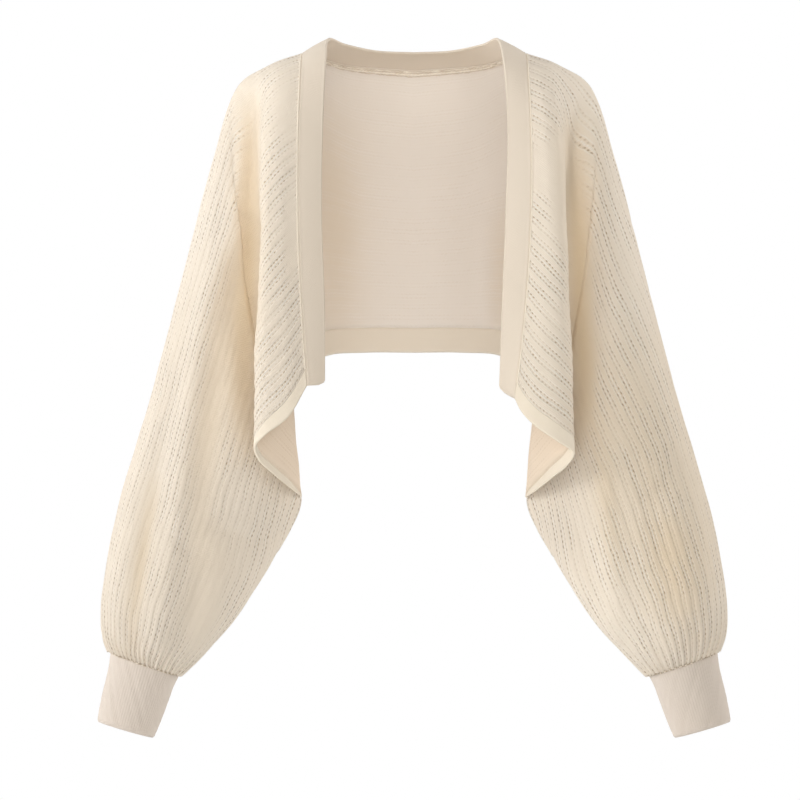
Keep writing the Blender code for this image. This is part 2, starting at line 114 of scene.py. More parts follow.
# Neck band and hem bands
BAND_CORNER_RADIUS = 7.0
BAND_EDGE_RADIUS = 1.4
BAND_SEAM_RADIUS = 2.2
BAND_SEAM_SHARE = 0.55
BAND_CROWN = 0.8
BAND_LINES = (
    # distance from the seam, or from the free edge where negative; spread; height
    (2.2, 0.8, 0.25), (4.6, 1.0, -0.12), (-1.3, 0.7, 0.15), (-3.2, 0.9, -0.1),
)
HEM_EDGE_RADIUS = 1.2
HEM_SEAM_RADIUS = 1.0
HEM_SEAM_SHARE = 0.85

# Cuff
CUFF_LENGTH = 66.0
CUFF_TOP_HALF_WIDTH = 34.8
CUFF_END_HALF_WIDTH = 28.4
CUFF_END_HALF_DEPTH = 21.0
CUFF_END_CENTRE = (288.5, -669.5)
CUFF_END_ACROSS = (0.96, 0.281)
CUFF_WAIST = 1.2
CUFF_EDGE_SHARE = 0.018
CUFF_SWELL_HEIGHT = 0.35
CUFF_SWELL_LENGTH = 38.0

# Linked seams: thicknesses are the threads' radii
CUFF_SEAM_OUT = 1.9
CUFF_SEAM_RADIUS = 0.75
CUFF_STITCH_OUT = 2.3
CUFF_STITCH_RADIUS = (0.12, 0.67)   # between the stitches and at the thickest of them
FRONT_SEAM_OUT = 1.2
FRONT_SEAM_RADIUS = 0.75
NECK_LINES = (
    # mesh column below the band's seam, thickness, material; the thin lines in cream_smooth_knit, without
    # the glow of the linking yarn, paint the dark shadow lines beside the linking ridges
    (1, 0.7, "cream_smooth_knit"), (3, 0.95, "inner_linking_yarn"), (5, 0.6, "cream_smooth_knit"),
    (7, 0.95, "inner_linking_yarn"), (9, 0.45, "cream_smooth_knit"),
)
NECK_LINE_END = 1.75   # in sections from the middle back
NECK_LINE_DEPTH = 1.3
NECK_LINE_STEP = 0.9
NECK_LINE_EASE = 24   # steps on each side over which the line's height is evened out
NECK_STITCH = 3.6
FRONT_STITCH = 3.1
THINNEST_THREAD = 0.05

SIDES = {"right": -1.0, "left": 1.0}

# Seam lines of the +X side: over the shoulder and down the sleeve, and up its underside, as (x, z),
# and round the back neck as (x, y, z)
OVER_ARM = (
    (112, 5), (135, -2.5), (151, -10), (165.5, -17.5), (174.5, -26), (181.5, -39), (188.5, -59),
    (194.5, -83), (205.5, -121), (227.5, -207), (263, -342), (287, -424), (300, -473), (308, -519),
    (311, -545), (310.5, -571), (303, -592),
)
UNDER_ARM = (
    (113.5, -439), (116, -451), (125, -470), (135, -487), (150, -512), (180, -559), (205, -587),
    (222, -604), (235, -615),
)
BACK_NECK = ((0, 62, -6.6), (24, 61.2, -6.2), (57, 54.2, -3.6), (87, 36, 2), (112, 0, 5))

# Sections of the panels, each from its place along the top seam to the hem or the underarm seam
FRONT_SECTIONS = {
    "right": (
        # name, over, middle, hem point, curl, hem
        ("band seam", 0, (114, 96, -188), (105.5, 96, -326), 0.0, 17),
        ("front middle", 13, (133, 101, -196), (124, 100, -357), 0.0, 17),
        ("crest front", 24, (146, 99, -202), (147, 98, -375), 0.0, 13),
        ("crest edge", 32, (151, 89, -206), (157, 89, -387), 0.0, 9),
        ("crest back", 39, (147, 79, -210), (153, 78, -400), 0.0, 8),
        ("fold middle", 46, (141, 72, -213), (139, 59, -414), 0.0, 8),
        ("root front", 53, (137, 65, -216), (125, 36, -426), 0.1, 7),
        ("root edge", 60, (134, 57, -219), (117, 18, -433), 0.2, 4.5),
        ("root back", 67, (138, 48, -222), (113, 7, -436), 0.5, 1.2),
    ),
    "left": (
        ("band seam", 0, (114, 96, -190), (99, 96, -339), 0.0, 18),
        ("band side", 6, (122, 99, -193), (105, 98, -351), 0.0, 18),
        ("front middle", 13, (133, 102, -198), (118, 101, -365), 0.0, 17),
        ("crest front", 24, (146, 100, -204), (141, 99, -381), 0.0, 17),
        ("crest edge", 32, (150, 90, -208), (157, 90, -393), 0.0, 15),
        ("crest back", 39, (146, 80, -212), (151, 79, -405), 0.0, 13),
        ("fold middle", 46, (140, 72, -215), (137, 59, -417), 0.0, 11),
        ("root front", 53, (136, 65, -218), (123, 36, -429), 0.1, 8),
        ("root edge", 60, (132, 57, -221), (115, 18, -435), 0.2, 5),
        ("root back", 67, (137, 48, -224), (112, 7, -437), 0.5, 1.2),
    ),
}
BACK_SECTIONS = (
    # name, neck, over, middle, hem point, curl, hem
    ("middle back", 0.0, None, (0, 97, -150), (0, 96, -292), 0.0, 25),
    ("shoulder blade", 0.5, None, (52, 98, -152), (50, 95, -292), 0.0, 25),
    ("back side", 1.0, 0, (98, 93, -158), (93, 90, -296), 0.0, 25),
    ("back drape", None, 28, (130, 87, -170), (118, 80, -311), 0.4, 22),
    ("back turn", None, 48, (146, 81, -192), (128, 54, -340), 1.0, 14),
    ("back fold", None, 61, (154, 74, -212), (124, 28, -384), 1.0, 7),
    ("back underarm", None, 70, (160, 68, -226), (117, 9, -425), 1.0, 1.2),
)
SLEEVE_SECTIONS = (
    # name, over, under, front, back, lean, tuck
    ("underarm", 79, 2, 40, 61, 18, 1.8),
    ("armhole", 96, 12, 43, 58, 17, 1.8),
    ("upper arm", 140, 26, 48, 55, 17, 1.6),
    ("below shoulder", 195, 43, 52, 54, 15, 1.4),
    ("above elbow", 267, 64, 52, 53, 16, 1.2),
    ("elbow", 342, 88, 50, 51, 16, 1.1),
    ("forearm", 417, 114, 49, 49, 15, 1.0),
    ("low forearm", 492, 142, 48, 48, 12, 1.0),
    ("balloon", 554, 169, 47, 47, 8, 1.0),
    ("low balloon", 606, 191, 42, 42, 4, 1.0),
    ("gathers", 640, 207, 32, 32, 1, 1.0),
    ("cuff seam", 660, 218, 25, 25, 0, 1.0),
)
# Free edge of the neck band as (place, (x, y, z)). The place is 0 at the band's end, 1 at the shoulder
# seam and 2 at the middle back.
BACK_NECK_EDGE = ((1.30, (68, 26, 17.3)), (1.65, (38, 38, 11.3)), (2.00, (0, 42, 9.8)))
BAND_EDGES = {
    "right": (
        (0.00, (88, -87, -325)), (0.25, (88, -89, -253)), (0.50, (91, -88, -152)),
        (0.75, (90, -73, -72)), (0.90, (87, -38, -2)), (1.00, (84, -2, 21)), *BACK_NECK_EDGE,
    ),
    "left": (
        (0.00, (84, -82, -330)), (0.25, (86, -88, -258)), (0.50, (90, -88, -154)),
        (0.75, (92, -73, -72)), (0.90, (88, -38, -2)), (1.00, (82, -2, 21)), *BACK_NECK_EDGE,
    ),
}

# Studio, in metres
CAMERA_PLACE = (-0.014, -6.0, -0.340)
LENS_LENGTH = 270.0   # in millimetres, on a sensor 36 mm wide
LIGHTS_AIM = (0.0, 0.0, -0.33)
FLOOR_LEVEL = -1.6
FLOOR_HALF_SIZE = 8.0
LIGHTS = (
    # name, place, size, power, colour
    ("broad front", (0.0, -5.6, 0.0), 4.0, 75.0, (1.0, 1.0, 1.0)),
    ("front", (-0.3, -5.0, 0.0), 2.2, 23.0, (1.0, 1.0, 1.0)),
    ("high left", (-2.4, -3.8, 1.3), 2.0, 36.0, (0.98, 0.99, 1.0)),
    ("front right", (2.2, -4.2, 1.4), 2.0, 41.0, (1.0, 0.985, 0.96)),
    ("left side", (-3.0, -0.9, 0.2), 1.6, 47.0, (0.96, 0.98, 1.0)),
    ("left behind", (-2.8, 1.2, 0.3), 1.6, 42.0, (0.97, 0.985, 1.0)),
    ("right behind", (2.8, 1.2, 0.3), 1.6, 60.0, (1.0, 1.0, 1.0)),
    ("top", (0.0, -0.3, 2.6), 2.0, 31.0, (1.0, 1.0, 1.0)),
)

# Yarns and knits. Colours are red, green and blue, relief is in millimetres, and light through is the
# strength of a painted glow, in the knit's own colour, that stands in for the light the loose knit lets
# onto a face in shade.
KNITS = (
    # name, light tone, deep tone, pattern, relief, light through as painted glow
    ("cream_pointelle", (0.87, 0.765, 0.635), (0.84, 0.725, 0.585), "pointelle", 0.5, 0.0),
    ("cream_pointelle_inside", (0.79, 0.655, 0.51), (0.76, 0.615, 0.47), "pointelle", 0.12, 0.06),
    ("cream_pointelle_back_inside", (0.82, 0.75, 0.675), (0.79, 0.715, 0.63), "pointelle", 0.1, 0.11),
    ("cream_smooth_knit", (0.765, 0.665, 0.545), (0.735, 0.63, 0.51), "plain_knit", 0.12, 0.0),
    ("cream_hem_knit", (0.82, 0.725, 0.585), (0.79, 0.685, 0.545), "plain_knit", 0.12, 0.06),
    ("cream_back_hem_knit", (0.77, 0.69, 0.575), (0.74, 0.65, 0.535), "plain_knit", 0.12, 0.14),
    ("beige_fine_rib", (0.68, 0.595, 0.515), (0.645, 0.555, 0.47), None, 0.1, 0.0),
    ("linking_yarn", (0.86, 0.77, 0.64), (0.82, 0.72, 0.58), None, 0.15, 0.0),
    ("inner_linking_yarn", (0.86, 0.79, 0.68), (0.83, 0.75, 0.63), None, 0.15, 0.13),
    # a dark thread colour that paints the shadow of the sunk cuff seam
    ("sunk_seam_painted_shadow", (0.60, 0.49, 0.36), (0.42, 0.33, 0.23), None, 0.15, 0.0),
)
EYELETS = {
    # knit: colour in the eyelets, painted shade of their depth, and the power that makes the painted
    # highlight on its raised threads paler than the light tone
    "cream_pointelle": ((0.46, 0.33, 0.205), 0.5),
    "cream_pointelle_inside": ((0.71, 0.57, 0.42), 0.97),
    "cream_pointelle_back_inside": ((0.78, 0.70, 0.61), 0.97),
}
# The shaded tone below is painted shade, mixed in where the shade mark is set.
WARM_SHADE = (0.93, 0.85, 0.71)   # what shaded places keep of the deep tone's red, green and blue

# How the ribs lie on the worn arm: the ribs that have slid over the shoulder seam by the end of the
# turn, the ribs fewer that cross the panel there, and the ribs by which they sag below the shoulder.
# The reaches are lengths down the arm from the seam's end at the neck.
ARM_TURN = {"right": (0.0, 1.8, 0.9), "left": (2.8, 6.2, 2.1), "back": (0.0, 1.8, 0.6)}
TURN_REACH = (110, 410)
SAG_GROWS = (0, 80)
SAG_FADES = (120, 410)

# Quiet places, where the cloth is drawn smooth, and painted shade: the line that each follows as (x, z),
# half its width, how far the rib and its eyelets fade there, and the warmth of the painted shade.
QUIET_PLACES = {
    "right": (
        ("beside the crest", ((-160, -30), (-160, -90), (-163, -170), (-167, -260), (-170, -350),
                              (-166, -410)), 13, 1.1, 0.9),
        ("shoulder", ((-150, -22), (-166, -34), (-172, -60)), 14, 0.7, 0.0),
        ("upper front", ((-126, -8), (-126, -50), (-127, -92)), 14, 0.7, 0.0),
        ("inner sleeve", ((-172, -170), (-186, -260), (-200, -350), (-212, -440), (-214, -520)), 17,
         0.55, 0.35),
        ("inner balloon", ((-180, -450), (-200, -500), (-214, -560), (-222, -610)), 22, 0.7, 0.12),
        ("outer sleeve", ((-232, -300), (-268, -420), (-286, -520), (-288, -600)), 26, 0.3, 0.0),
        ("balloon furrow", ((-256, -410), (-271, -500), (-280, -565), (-279, -602)), 8, 0.25, 0.5),
        ("beside the band", ((-123, -120), (-121, -180), (-122, -236)), 7, 0.9, 0.0),
    ),
    "left": (
        ("beside the crest", ((150, -50), (156, -110), (162, -170), (166, -260), (168, -330),
                              (160, -400)), 13, 1.1, 1.0),
        ("middle front", ((122, -84), (124, -110), (125, -142)), 14, 0.75, 0.0),
        ("low balloon", ((246, -450), (262, -530), (272, -590)), 28, 0.0, 0.45),
        ("inner sleeve", ((176, -330), (186, -400), (196, -470), (206, -530)), 12, 0.3, 0.4),
        ("whole sleeve", ((196, -260), (222, -360), (244, -460), (262, -560)), 42, 0.0, 0.45),
        ("outer sleeve", ((232, -200), (262, -310), (290, -440), (300, -540)), 16, 0.35, 0.2),
        ("upper crest", ((136, -70), (141, -110), (143, -150), (147, -200)), 11, 0.75, 0.0),
    ),
    "back": (
        ("right of the back", ((-96, -20), (-88, -90), (-84, -170), (-84, -240), (-82, -310)), 34,
         0.4, 0.55),
        ("left of the back", ((92, -130), (90, -200), (88, -290)), 12, 0.3, 0.4),
    ),
}

# Soft folds pressed into the panels: the line that each follows as (x, z), half its width, and its
# depth, positive outwards.
FRONT_FOLDS = {
    "right": (
        ("sleeve ridge", ((-172, -40), (-176, -150), (-203, -240), (-220, -340), (-232, -430), (-244, -507),
                          (-253, -560), (-258, -600)), 12, 6.4),
        ("outer furrow", ((-236, -310), (-258, -420), (-271, -507), (-279, -570), (-278, -602)), 9, -4.6),
        ("upper crest", ((-145, -16), (-146, -60), (-148, -110), (-150, -170)), 6, 3.2),
        ("upper valley", ((-159, -14), (-160, -60), (-163, -110), (-168, -170)), 7, -5.0),
        ("outer ridge", ((-256, -330), (-283, -440), (-297, -533), (-296, -586)), 9, 2.2),
        ("inner furrow", ((-176, -190), (-190, -280), (-204, -370), (-212, -450)), 12, -2.0),
        ("fold root", ((-182, -120), (-178, -160), (-172, -200), (-166, -240), (-160, -280), (-155, -330)),
         8, 3.4),
        ("elbow furrow", ((-262, -440), (-236, -478), (-200, -500)), 9, -1.6),
        ("underarm drag", ((-126, -466), (-160, -478), (-205, -462)), 8, -2.0),
        ("low furrow", ((-206, -500), (-226, -560), (-246, -598)), 8, -2.4),
        ("low ridge", ((-188, -510), (-212, -566), (-238, -602)), 7, 1.6),
    ),
    "left": (
        ("sleeve ridge", ((168, -30), (182, -110), (194, -200), (214, -300)), 14, 2.4),
        ("inner furrow", ((176, -190), (184, -260), (190, -330), (192, -390)), 12, -1.8),
        ("fold root", ((182, -120), (178, -160), (172, -200), (166, -240), (160, -280), (155, -330)),
         8, 3.4),
        ("upper crest", ((144, -44), (147, -90), (150, -130), (152, -170)), 6, 2.0),
        ("upper valley", ((157, -44), (160, -90), (164, -130), (168, -170)), 8, -3.6),
        ("low ridge", ((178, -360), (189, -440), (200, -520), (206, -588)), 12, 5.0),
        ("underarm hollow", ((140, -410), (152, -450), (172, -500), (184, -545)), 11, -3.4),
        ("middle furrow", ((216, -380), (240, -470), (258, -560)), 14, -2.6),
        ("outer ridge", ((254, -330), (280, -440), (292, -530), (294, -580)), 10, 2.0),
        ("elbow furrow", ((262, -400), (236, -440), (204, -456)), 9, -1.6),
        ("low furrow", ((222, -530), (234, -572), (248, -600)), 7, -1.8),
    ),
}
# Those of the back's middle are named as they look from inside.
BACK_FOLDS = (
    ("left valley", ((60, -165), (58, -230), (62, -300)), 9, 3.0),
    ("left ridge", ((74, -150), (73, -230), (78, -300)), 8, -2.6),
    ("low pleat", ((-3, -225), (-4, -262), (-2, -300)), 4, 1.2),
    ("right drape", ((-70, -120), (-80, -200), (-78, -290)), 14, 2.4),
    ("right blade", ((-40, -60), (-52, -140), (-50, -230)), 16, -1.6),
    ("right back sleeve", ((-176, -60), (-196, -200), (-226, -350), (-252, -480)), 15, 3.0),
    ("right back furrow", ((-150, -240), (-186, -330), (-206, -400)), 11, -2.6),
    ("right back elbow", ((-270, -410), (-236, -450), (-200, -476)), 10, -2.2),
    ("right back balloon", ((-262, -520), (-266, -570), (-262, -596)), 9, 2.2),
    ("left back sleeve", ((172, -50), (190, -190), (222, -340), (256, -500)), 14, 2.8),
    ("left back furrow", ((154, -260), (182, -340), (214, -420)), 12, -2.4),
    ("left back elbow", ((268, -430), (232, -462), (188, -480)), 9, -2.0),
    ("left back balloon", ((276, -500), (279, -560), (272, -594)), 10, 2.2),
)


def unit(vectors):
    """Vectors scaled to a length of one."""
    return vectors / np.linalg.norm(vectors, axis=-1, keepdims=True)


def tangents_at(rows):
    """Direction of travel at each row, per root-length step, and those steps (centripetal spline)."""
    steps = np.sqrt(np.linalg.norm(np.diff(rows, axis=0), axis=-1, keepdims=True))
    slopes = np.diff(rows, axis=0) / steps
    inner = (slopes[:-1] * steps[1:] + slopes[1:] * steps[:-1]) / (steps[:-1] + steps[1:])
    return np.concatenate([slopes[:1], inner, slopes[-1:]]), steps


def spline(rows, places):
    """Cubic curves through rows of points, read at places counted in rows."""
    rows = np.asarray(rows, float)
    directions, steps = tangents_at(rows)
    places = np.asarray(places, float)
    index = np.clip(places.astype(int), 0, len(rows) - 2)
    t = (places - index).reshape((-1,) + (1,) * (rows.ndim - 1))
    start, end = rows[index], rows[index + 1]
    start_pull = directions[index] * steps[index]
    end_pull = directions[index + 1] * steps[index]
    return (
        start * (2 * t**3 - 3 * t**2 + 1) + start_pull * (t**3 - 2 * t**2 + t)
        + end * (3 * t**2 - 2 * t**3) + end_pull * (t**3 - t**2)
    )


def lengths_along(points):
    """Length from the first point to each point of a line."""
    steps = np.linalg.norm(np.diff(points, axis=0), axis=-1)
    return np.concatenate([[0.0], np.cumsum(steps)])


def read_line(points, lengths):
    """Points of a line at given lengths from its start."""
    run = lengths_along(points)
    return np.stack([np.interp(lengths, run, points[:, axis]) for axis in range(3)], axis=-1)


def seam_line(table):
    """A fine smooth line through a table of (out, z) or (out, y, z) rows."""
    rows = np.array([(row[0], row[1] if len(row) == 3 else 0.0, row[-1]) for row in table], float)
    return spline(rows, np.linspace(0, len(rows) - 1, SEAM_POINTS_PER_ROW * len(rows)))


def section_line(top, middle, bottom, curl, tuck=1.0):
    """One section of cloth: a quarter ellipse from the top line out to the deepest point, then on to
    the bottom, straight down for curl 0 and as a second quarter ellipse for curl 1. A tuck over 1
    draws the lower part in sooner. From the front, the three points lie on one parabola."""
    turn = np.linspace(0, math.pi / 2, SECTION_POINTS)
    share = np.linspace(0, 1, SECTION_POINTS)
    drop = curl * np.sin(turn) + (1 - curl) * share
    draw_in = curl * (1 - np.cos(turn)**tuck) + (1 - curl) * share**2
    upper_z = top[2] + (middle[2] - top[2]) * (1 - np.cos(turn))
    lower_z = middle[2] + (bottom[2] - middle[2]) * drop
    upper_y = top[1] + (middle[1] - top[1]) * np.sin(turn)
    lower_y = middle[1] + (bottom[1] - middle[1]) * draw_in
    z = np.concatenate([upper_z, lower_z[1:]])
    y = np.concatenate([upper_y, lower_y[1:]])
    slope = (middle[0] - top[0]) / (middle[2] - top[2])
    next_slope = (bottom[0] - middle[0]) / (bottom[2] - middle[2])
    bend = (next_slope - slope) / (bottom[2] - top[2])
    x = top[0] + slope * (z - top[2]) + bend * (z - top[2]) * (z - middle[2])
    return np.stack([x, y, z], axis=-1)


def sleeve_lines(facing):
    """The sleeve's sections on one half, -1 the front and +1 the back."""
    over, under = seam_line(OVER_ARM), seam_line(UNDER_ARM)
    lines = []
    for _, over_at, under_at, front, back, lean, tuck in SLEEVE_SECTIONS:
        top, bottom = read_line(over, [over_at])[0], read_line(under, [under_at])[0]
        middle = (top + bottom) / 2 + np.array([lean, 0.0, 0.0])
        middle[1] = -front if facing < 0 else back
        tuck = tuck if facing < 0 else 1.0
        lines.append({"line": section_line(top, middle, bottom, 1.0, tuck), "over": over_at,
                      "under": under_at, "hem": 0.0})
    return lines


def front_lines(side_name):
    """All sections of one front and its half sleeve, from the band seam to the cuff seam."""
    over = seam_line(OVER_ARM)
    lines = []
    for _, over_at, middle, hem_point, curl, hem in FRONT_SECTIONS[side_name]:
        top = read_line(over, [over_at])[0]
        middle = (middle[0], -middle[1], middle[2])
        bottom = (hem_point[0], -hem_point[1], hem_point[2])
        lines.append({"line": section_line(top, middle, bottom, curl), "over": over_at,
                      "under": None, "hem": hem})
    return lines + sleeve_lines(-1)


def back_lines():
    """All sections of half the back and its half sleeve, from the middle back to the cuff seam."""
    over, neck = seam_line(OVER_ARM), seam_line(BACK_NECK)
    neck_length = lengths_along(neck)[-1]
    lines = []
    for _, neck_at, over_at, middle, hem_point, curl, hem in BACK_SECTIONS:
        if over_at is None:
            top = read_line(neck, [neck_at * neck_length])[0]
        else:
            top = read_line(over, [over_at])[0]
        lines.append({"line": section_line(top, middle, hem_point, curl), "over": over_at,
                      "under": None, "hem": hem})
    return lines + sleeve_lines(1)


def places_of(lines, spacing):
    """Mesh rows, counted in sections, about spacing apart where two sections are furthest apart."""
    places = [0.0]
    for index in range(len(lines) - 1):
        apart = np.linalg.norm(lines[index + 1]["line"] - lines[index]["line"], axis=-1).max()
        steps = max(2, math.ceil(apart / spacing))
        places.extend(index + (np.arange(steps) + 1) / steps)
    return np.array(places)


def cloth_grid(lines, places, across, part):
    """Points of a cloth surface. Rows follow the places and columns follow across, from 0 at the top
    edge of the piece to 1 at its lower edge. The hem band takes the last millimetres of each section,
    and the panel takes the rest."""
    rows = []
    for section in lines:
        length = lengths_along(section["line"])[-1]
        edge = length - section["hem"]
        lengths = across * edge if part == "panel" else edge + across * (length - edge)
        rows.append(read_line(section["line"], lengths))
    grid = spline(np.array(rows), places)
    if part == "panel":
        over, under = seam_line(OVER_ARM), seam_line(UNDER_ARM)
        pull_to_seam(grid, lines, places, "over", over, 0, (1 - across)**SEAM_PULL_POWER)
        pull_to_seam(grid, lines, places, "under", under, -1, across**SEAM_PULL_POWER)
    return grid


def pull_to_seam(grid, lines, places, key, seam, column, weights):
    """Move the edge column onto the seam line that it is sewn along, and its neighbours less."""
    known = [index for index, section in enumerate(lines) if section[key] is not None]
    rows = np.flatnonzero((places >= known[0]) & (places <= known[-1]))
    total = lengths_along(seam)[-1]
    lengths = np.interp(places[rows], known, [min(lines[index][key], total) for index in known])
    shift = read_line(seam, lengths) - grid[rows, column]
    grid[rows] += shift[:, None, :] * weights[None, :, None]


def surface_normals(grid):
    """Unit normals of a grid of points, down the columns and then across the rows."""
    return unit(np.cross(np.gradient(grid, axis=1), np.gradient(grid, axis=0)))


def level_seam_normals(normals, lines, places, axis_of_cuff):
    """Turn the normals near the sewn edges so that the two walls there meet face to face, fading out
    over the next columns."""
    shoulder = next(index for index, section in enumerate(lines) if section["over"] is not None)
    underarm = next(index for index, section in enumerate(lines) if section["under"] is not None)
    fade = np.linspace(1, 0, SEAM_FADE_COLUMNS)
    from_last = slice(None, -SEAM_FADE_COLUMNS - 1, -1)
    for columns, first in ((slice(0, SEAM_FADE_COLUMNS), shoulder), (from_last, underarm)):
        rows = places >= first
        edge = normals[rows, columns]
        edge[..., 1] *= 1 - fade
        normals[rows, columns] = unit(edge)
    normals[-1] = unit(normals[-1] - np.outer(normals[-1] @ axis_of_cuff, axis_of_cuff))
    return normals


def cuff_frame():
    """The cuff's top ring on the +X side: centre, direction across it and axis down the arm."""
    over, under = seam_line(OVER_ARM), seam_line(UNDER_ARM)
    over_at, under_at = SLEEVE_SECTIONS[-1][1:3]
    top, bottom = read_line(over, [over_at])[0], read_line(under, [under_at])[0]
    across = unit(top - bottom)
    axis = np.array([-across[2], 0.0, across[0]])
    return (top + bottom) / 2, across, axis * np.sign(-axis[2])


def mirrored(grid, side):
    """The +X side's points on the given side."""
    return grid * np.array([side, 1.0, 1.0])


def both_sides(grid):
    """A half grid that starts at the middle of the body, joined to its mirror image."""
    return np.concatenate([mirrored(grid, -1.0)[:0:-1], grid])


def cloth_surfaces(lines, facing, spacing):
    """Middle surfaces and outward normals of one panel and its hem band on the +X side, and the
    panel's mesh rows. The two share their normals along the seam between them, and the back's band
    stands square to it."""
    places = places_of(lines, spacing)
    across = np.linspace(0, 1, COLUMNS_PER_RIB * RIBS_PER_PANEL + 1)
    panel = cloth_grid(lines, places, across, "panel")
    _, _, axis = cuff_frame()
    panel_normals = level_seam_normals(-facing * surface_normals(panel), lines, places, axis)
    first_sleeve = next(index for index, section in enumerate(lines) if not section["hem"])
    hem_places = places[places <= first_sleeve - 1]
    across_hem = np.linspace(0, 1, HEM_COLUMNS)
    hem = cloth_grid(lines[:first_sleeve], hem_places, across_hem, "hem")
    count = len(hem_places)
    joint = np.concatenate([panel[:count, -3:], hem[:, 1:]], axis=1)
    normals = -facing * surface_normals(joint)
    panel_normals[:count, -1] = normals[:, 2]
    if facing > 0:
        aside = unit(np.cross(normals[:, 2], unit(np.gradient(hem[:, 0], axis=0))))
        aside *= np.sign(np.sum(aside * (hem[:, 1] - hem[:, 0]), axis=-1, keepdims=True))
        width = np.interp(hem_places, range(first_sleeve),
                          [section["hem"] for section in lines[:first_sleeve]])
        hem = panel[:count, -1:] + aside[:, None] * (width[:, None] * across_hem)[..., None]
        normals[:, 2:] = normals[:, 2:3]
    return panel, panel_normals, places, hem, normals[:, 2:]


def smooth_step(low, high, values):
    """0 below low, 1 above high and an S-curve between."""
    share = np.clip((values - low) / (high - low), 0, 1)
    return share * share * (3 - 2 * share)


def wander(values, seed, reach):
    """Slow, even wandering between -1 and 1: three sines of unrelated lengths, about reach long."""
    draw = np.random.default_rng(seed)
    starts = draw.uniform(0, 2 * math.pi, 3)
    paces = np.array([1.0, 1.73, 2.61]) * 2 * math.pi / reach
    return sum(np.sin(values * pace + start) for pace, start in zip(paces, starts)) / 3


def rib_numbers(lines, places, columns, turn):
    """The rib that each point lies on: even steps from the panel's top edge down, less a half wave of
    sag below the shoulder, and slid and fewer by a smooth step down the arm."""
    slid, fewer, sagged = turn
    across = np.linspace(0, 1, columns)
    down_arm = np.interp(places, range(len(lines)), [section["over"] or 0.0 for section in lines])
    down_arm = down_arm[:, None]
    on_arm = smooth_step(*TURN_REACH, down_arm)
    by_the_shoulder = smooth_step(*SAG_GROWS, down_arm) * (1 - smooth_step(*SAG_FADES, down_arm))
    sag = sagged * by_the_shoulder * np.sin(math.pi * across)
    return RIBS_PER_PANEL * across + on_arm * (slid - fewer * across) - sag


def rib_relief(rib, run, places, last_section):
    """Height of the rib over the wall. A rib is a flat ridge half a repeat wide, between furrows that
    have a low thread along their middle. It rises and gets uneven in the gathers above the cuff."""
    phase = np.abs(rib - np.round(rib))
    ridge = smooth_step(*RIB_SIDE, phase)
    ridge += FURROW_THREAD_HEIGHT * np.exp(-(phase / FURROW_THREAD_SPREAD)**2)
    near_cuff = smooth_step(last_section - GATHER_SECTIONS, last_section, places)[:, None]
    number = np.floor(rib)
    uneven = wander(run + 37.0 * number, 3, RIB_UNEVEN_LENGTH)
    gathered = 0.8 + 0.5 * wander(number * 11.0 + run * 0.15, 5, GATHER_REACH)
    height = RIB_HEIGHT * (1 + RIB_UNEVEN_SHARE * uneven)
    height += (GATHER_HEIGHT - RIB_HEIGHT) * near_cuff * gathered
    rounder = np.sin(math.pi * phase)**2
    return height * (ridge * (1 - near_cuff) + rounder * near_cuff)


def unevenness(points, seed):
    """Soft swelling of worn cloth between -1 and 1: waves of several directions and lengths, summed."""
    draw = np.random.default_rng(seed)
    total = np.zeros(points.shape[:-1])
    for _ in range(SWELL_WAVES):
        heading, start = draw.uniform(0, 2 * math.pi, 2)
        reach = draw.uniform(*SWELL_LENGTHS)
        way = points[..., 0] * math.cos(heading) + points[..., 2] * math.sin(heading)
        total += np.sin(way * 2 * math.pi / reach + start) / SWELL_WAVES
    return total


def waver(grid, run, seed):
    """Shift of the ribs to one side and the other along their way, none at the sewn edges: one wide
    wandering that neighbours follow a little later, and a slight one of each rib's own."""
    across = np.linspace(0, 1, grid.shape[1])
    rib = across * RIBS_PER_PANEL
    shift = WAVER * wander(run + 9.0 * np.sin(rib * 0.9), seed, WAVER_LENGTH)
    shift += QUIVER * wander(run + 53.0 * rib, seed + 1, QUIVER_LENGTH)
    shift *= np.sin(math.pi * across)**0.5
    return unit(np.gradient(grid, axis=1)) * shift[..., None]


def fold_relief(points, folds):
    """Depth of the soft folds: each is a bell across its line, and dies away towards its ends."""
    total = np.zeros(points.shape[:-1])
    place = points[..., [0, 2]]
    for _, line, width, depth in folds:
        knots = spline(line, np.linspace(0, len(line) - 1, FOLD_POINTS_PER_ROW * len(line)))
        run = lengths_along(knots)
        nearest = np.full(total.shape, np.inf)
        along = np.zeros(total.shape)
        for start, end, begun in zip(knots[:-1], knots[1:], run[:-1]):
            step = end - start
            share = np.clip((place - start) @ step / (step @ step), 0, 1)
            gap = np.linalg.norm(place - start - share[..., None] * step, axis=-1)
            closer = gap < nearest
            nearest = np.where(closer, gap, nearest)
            along = np.where(closer, begun + share * np.linalg.norm(step), along)
        ends = np.sin(math.pi * np.clip(along / run[-1], 0, 1))**0.7
        total += depth * np.exp(-(nearest / width)**2) * ends
    return total


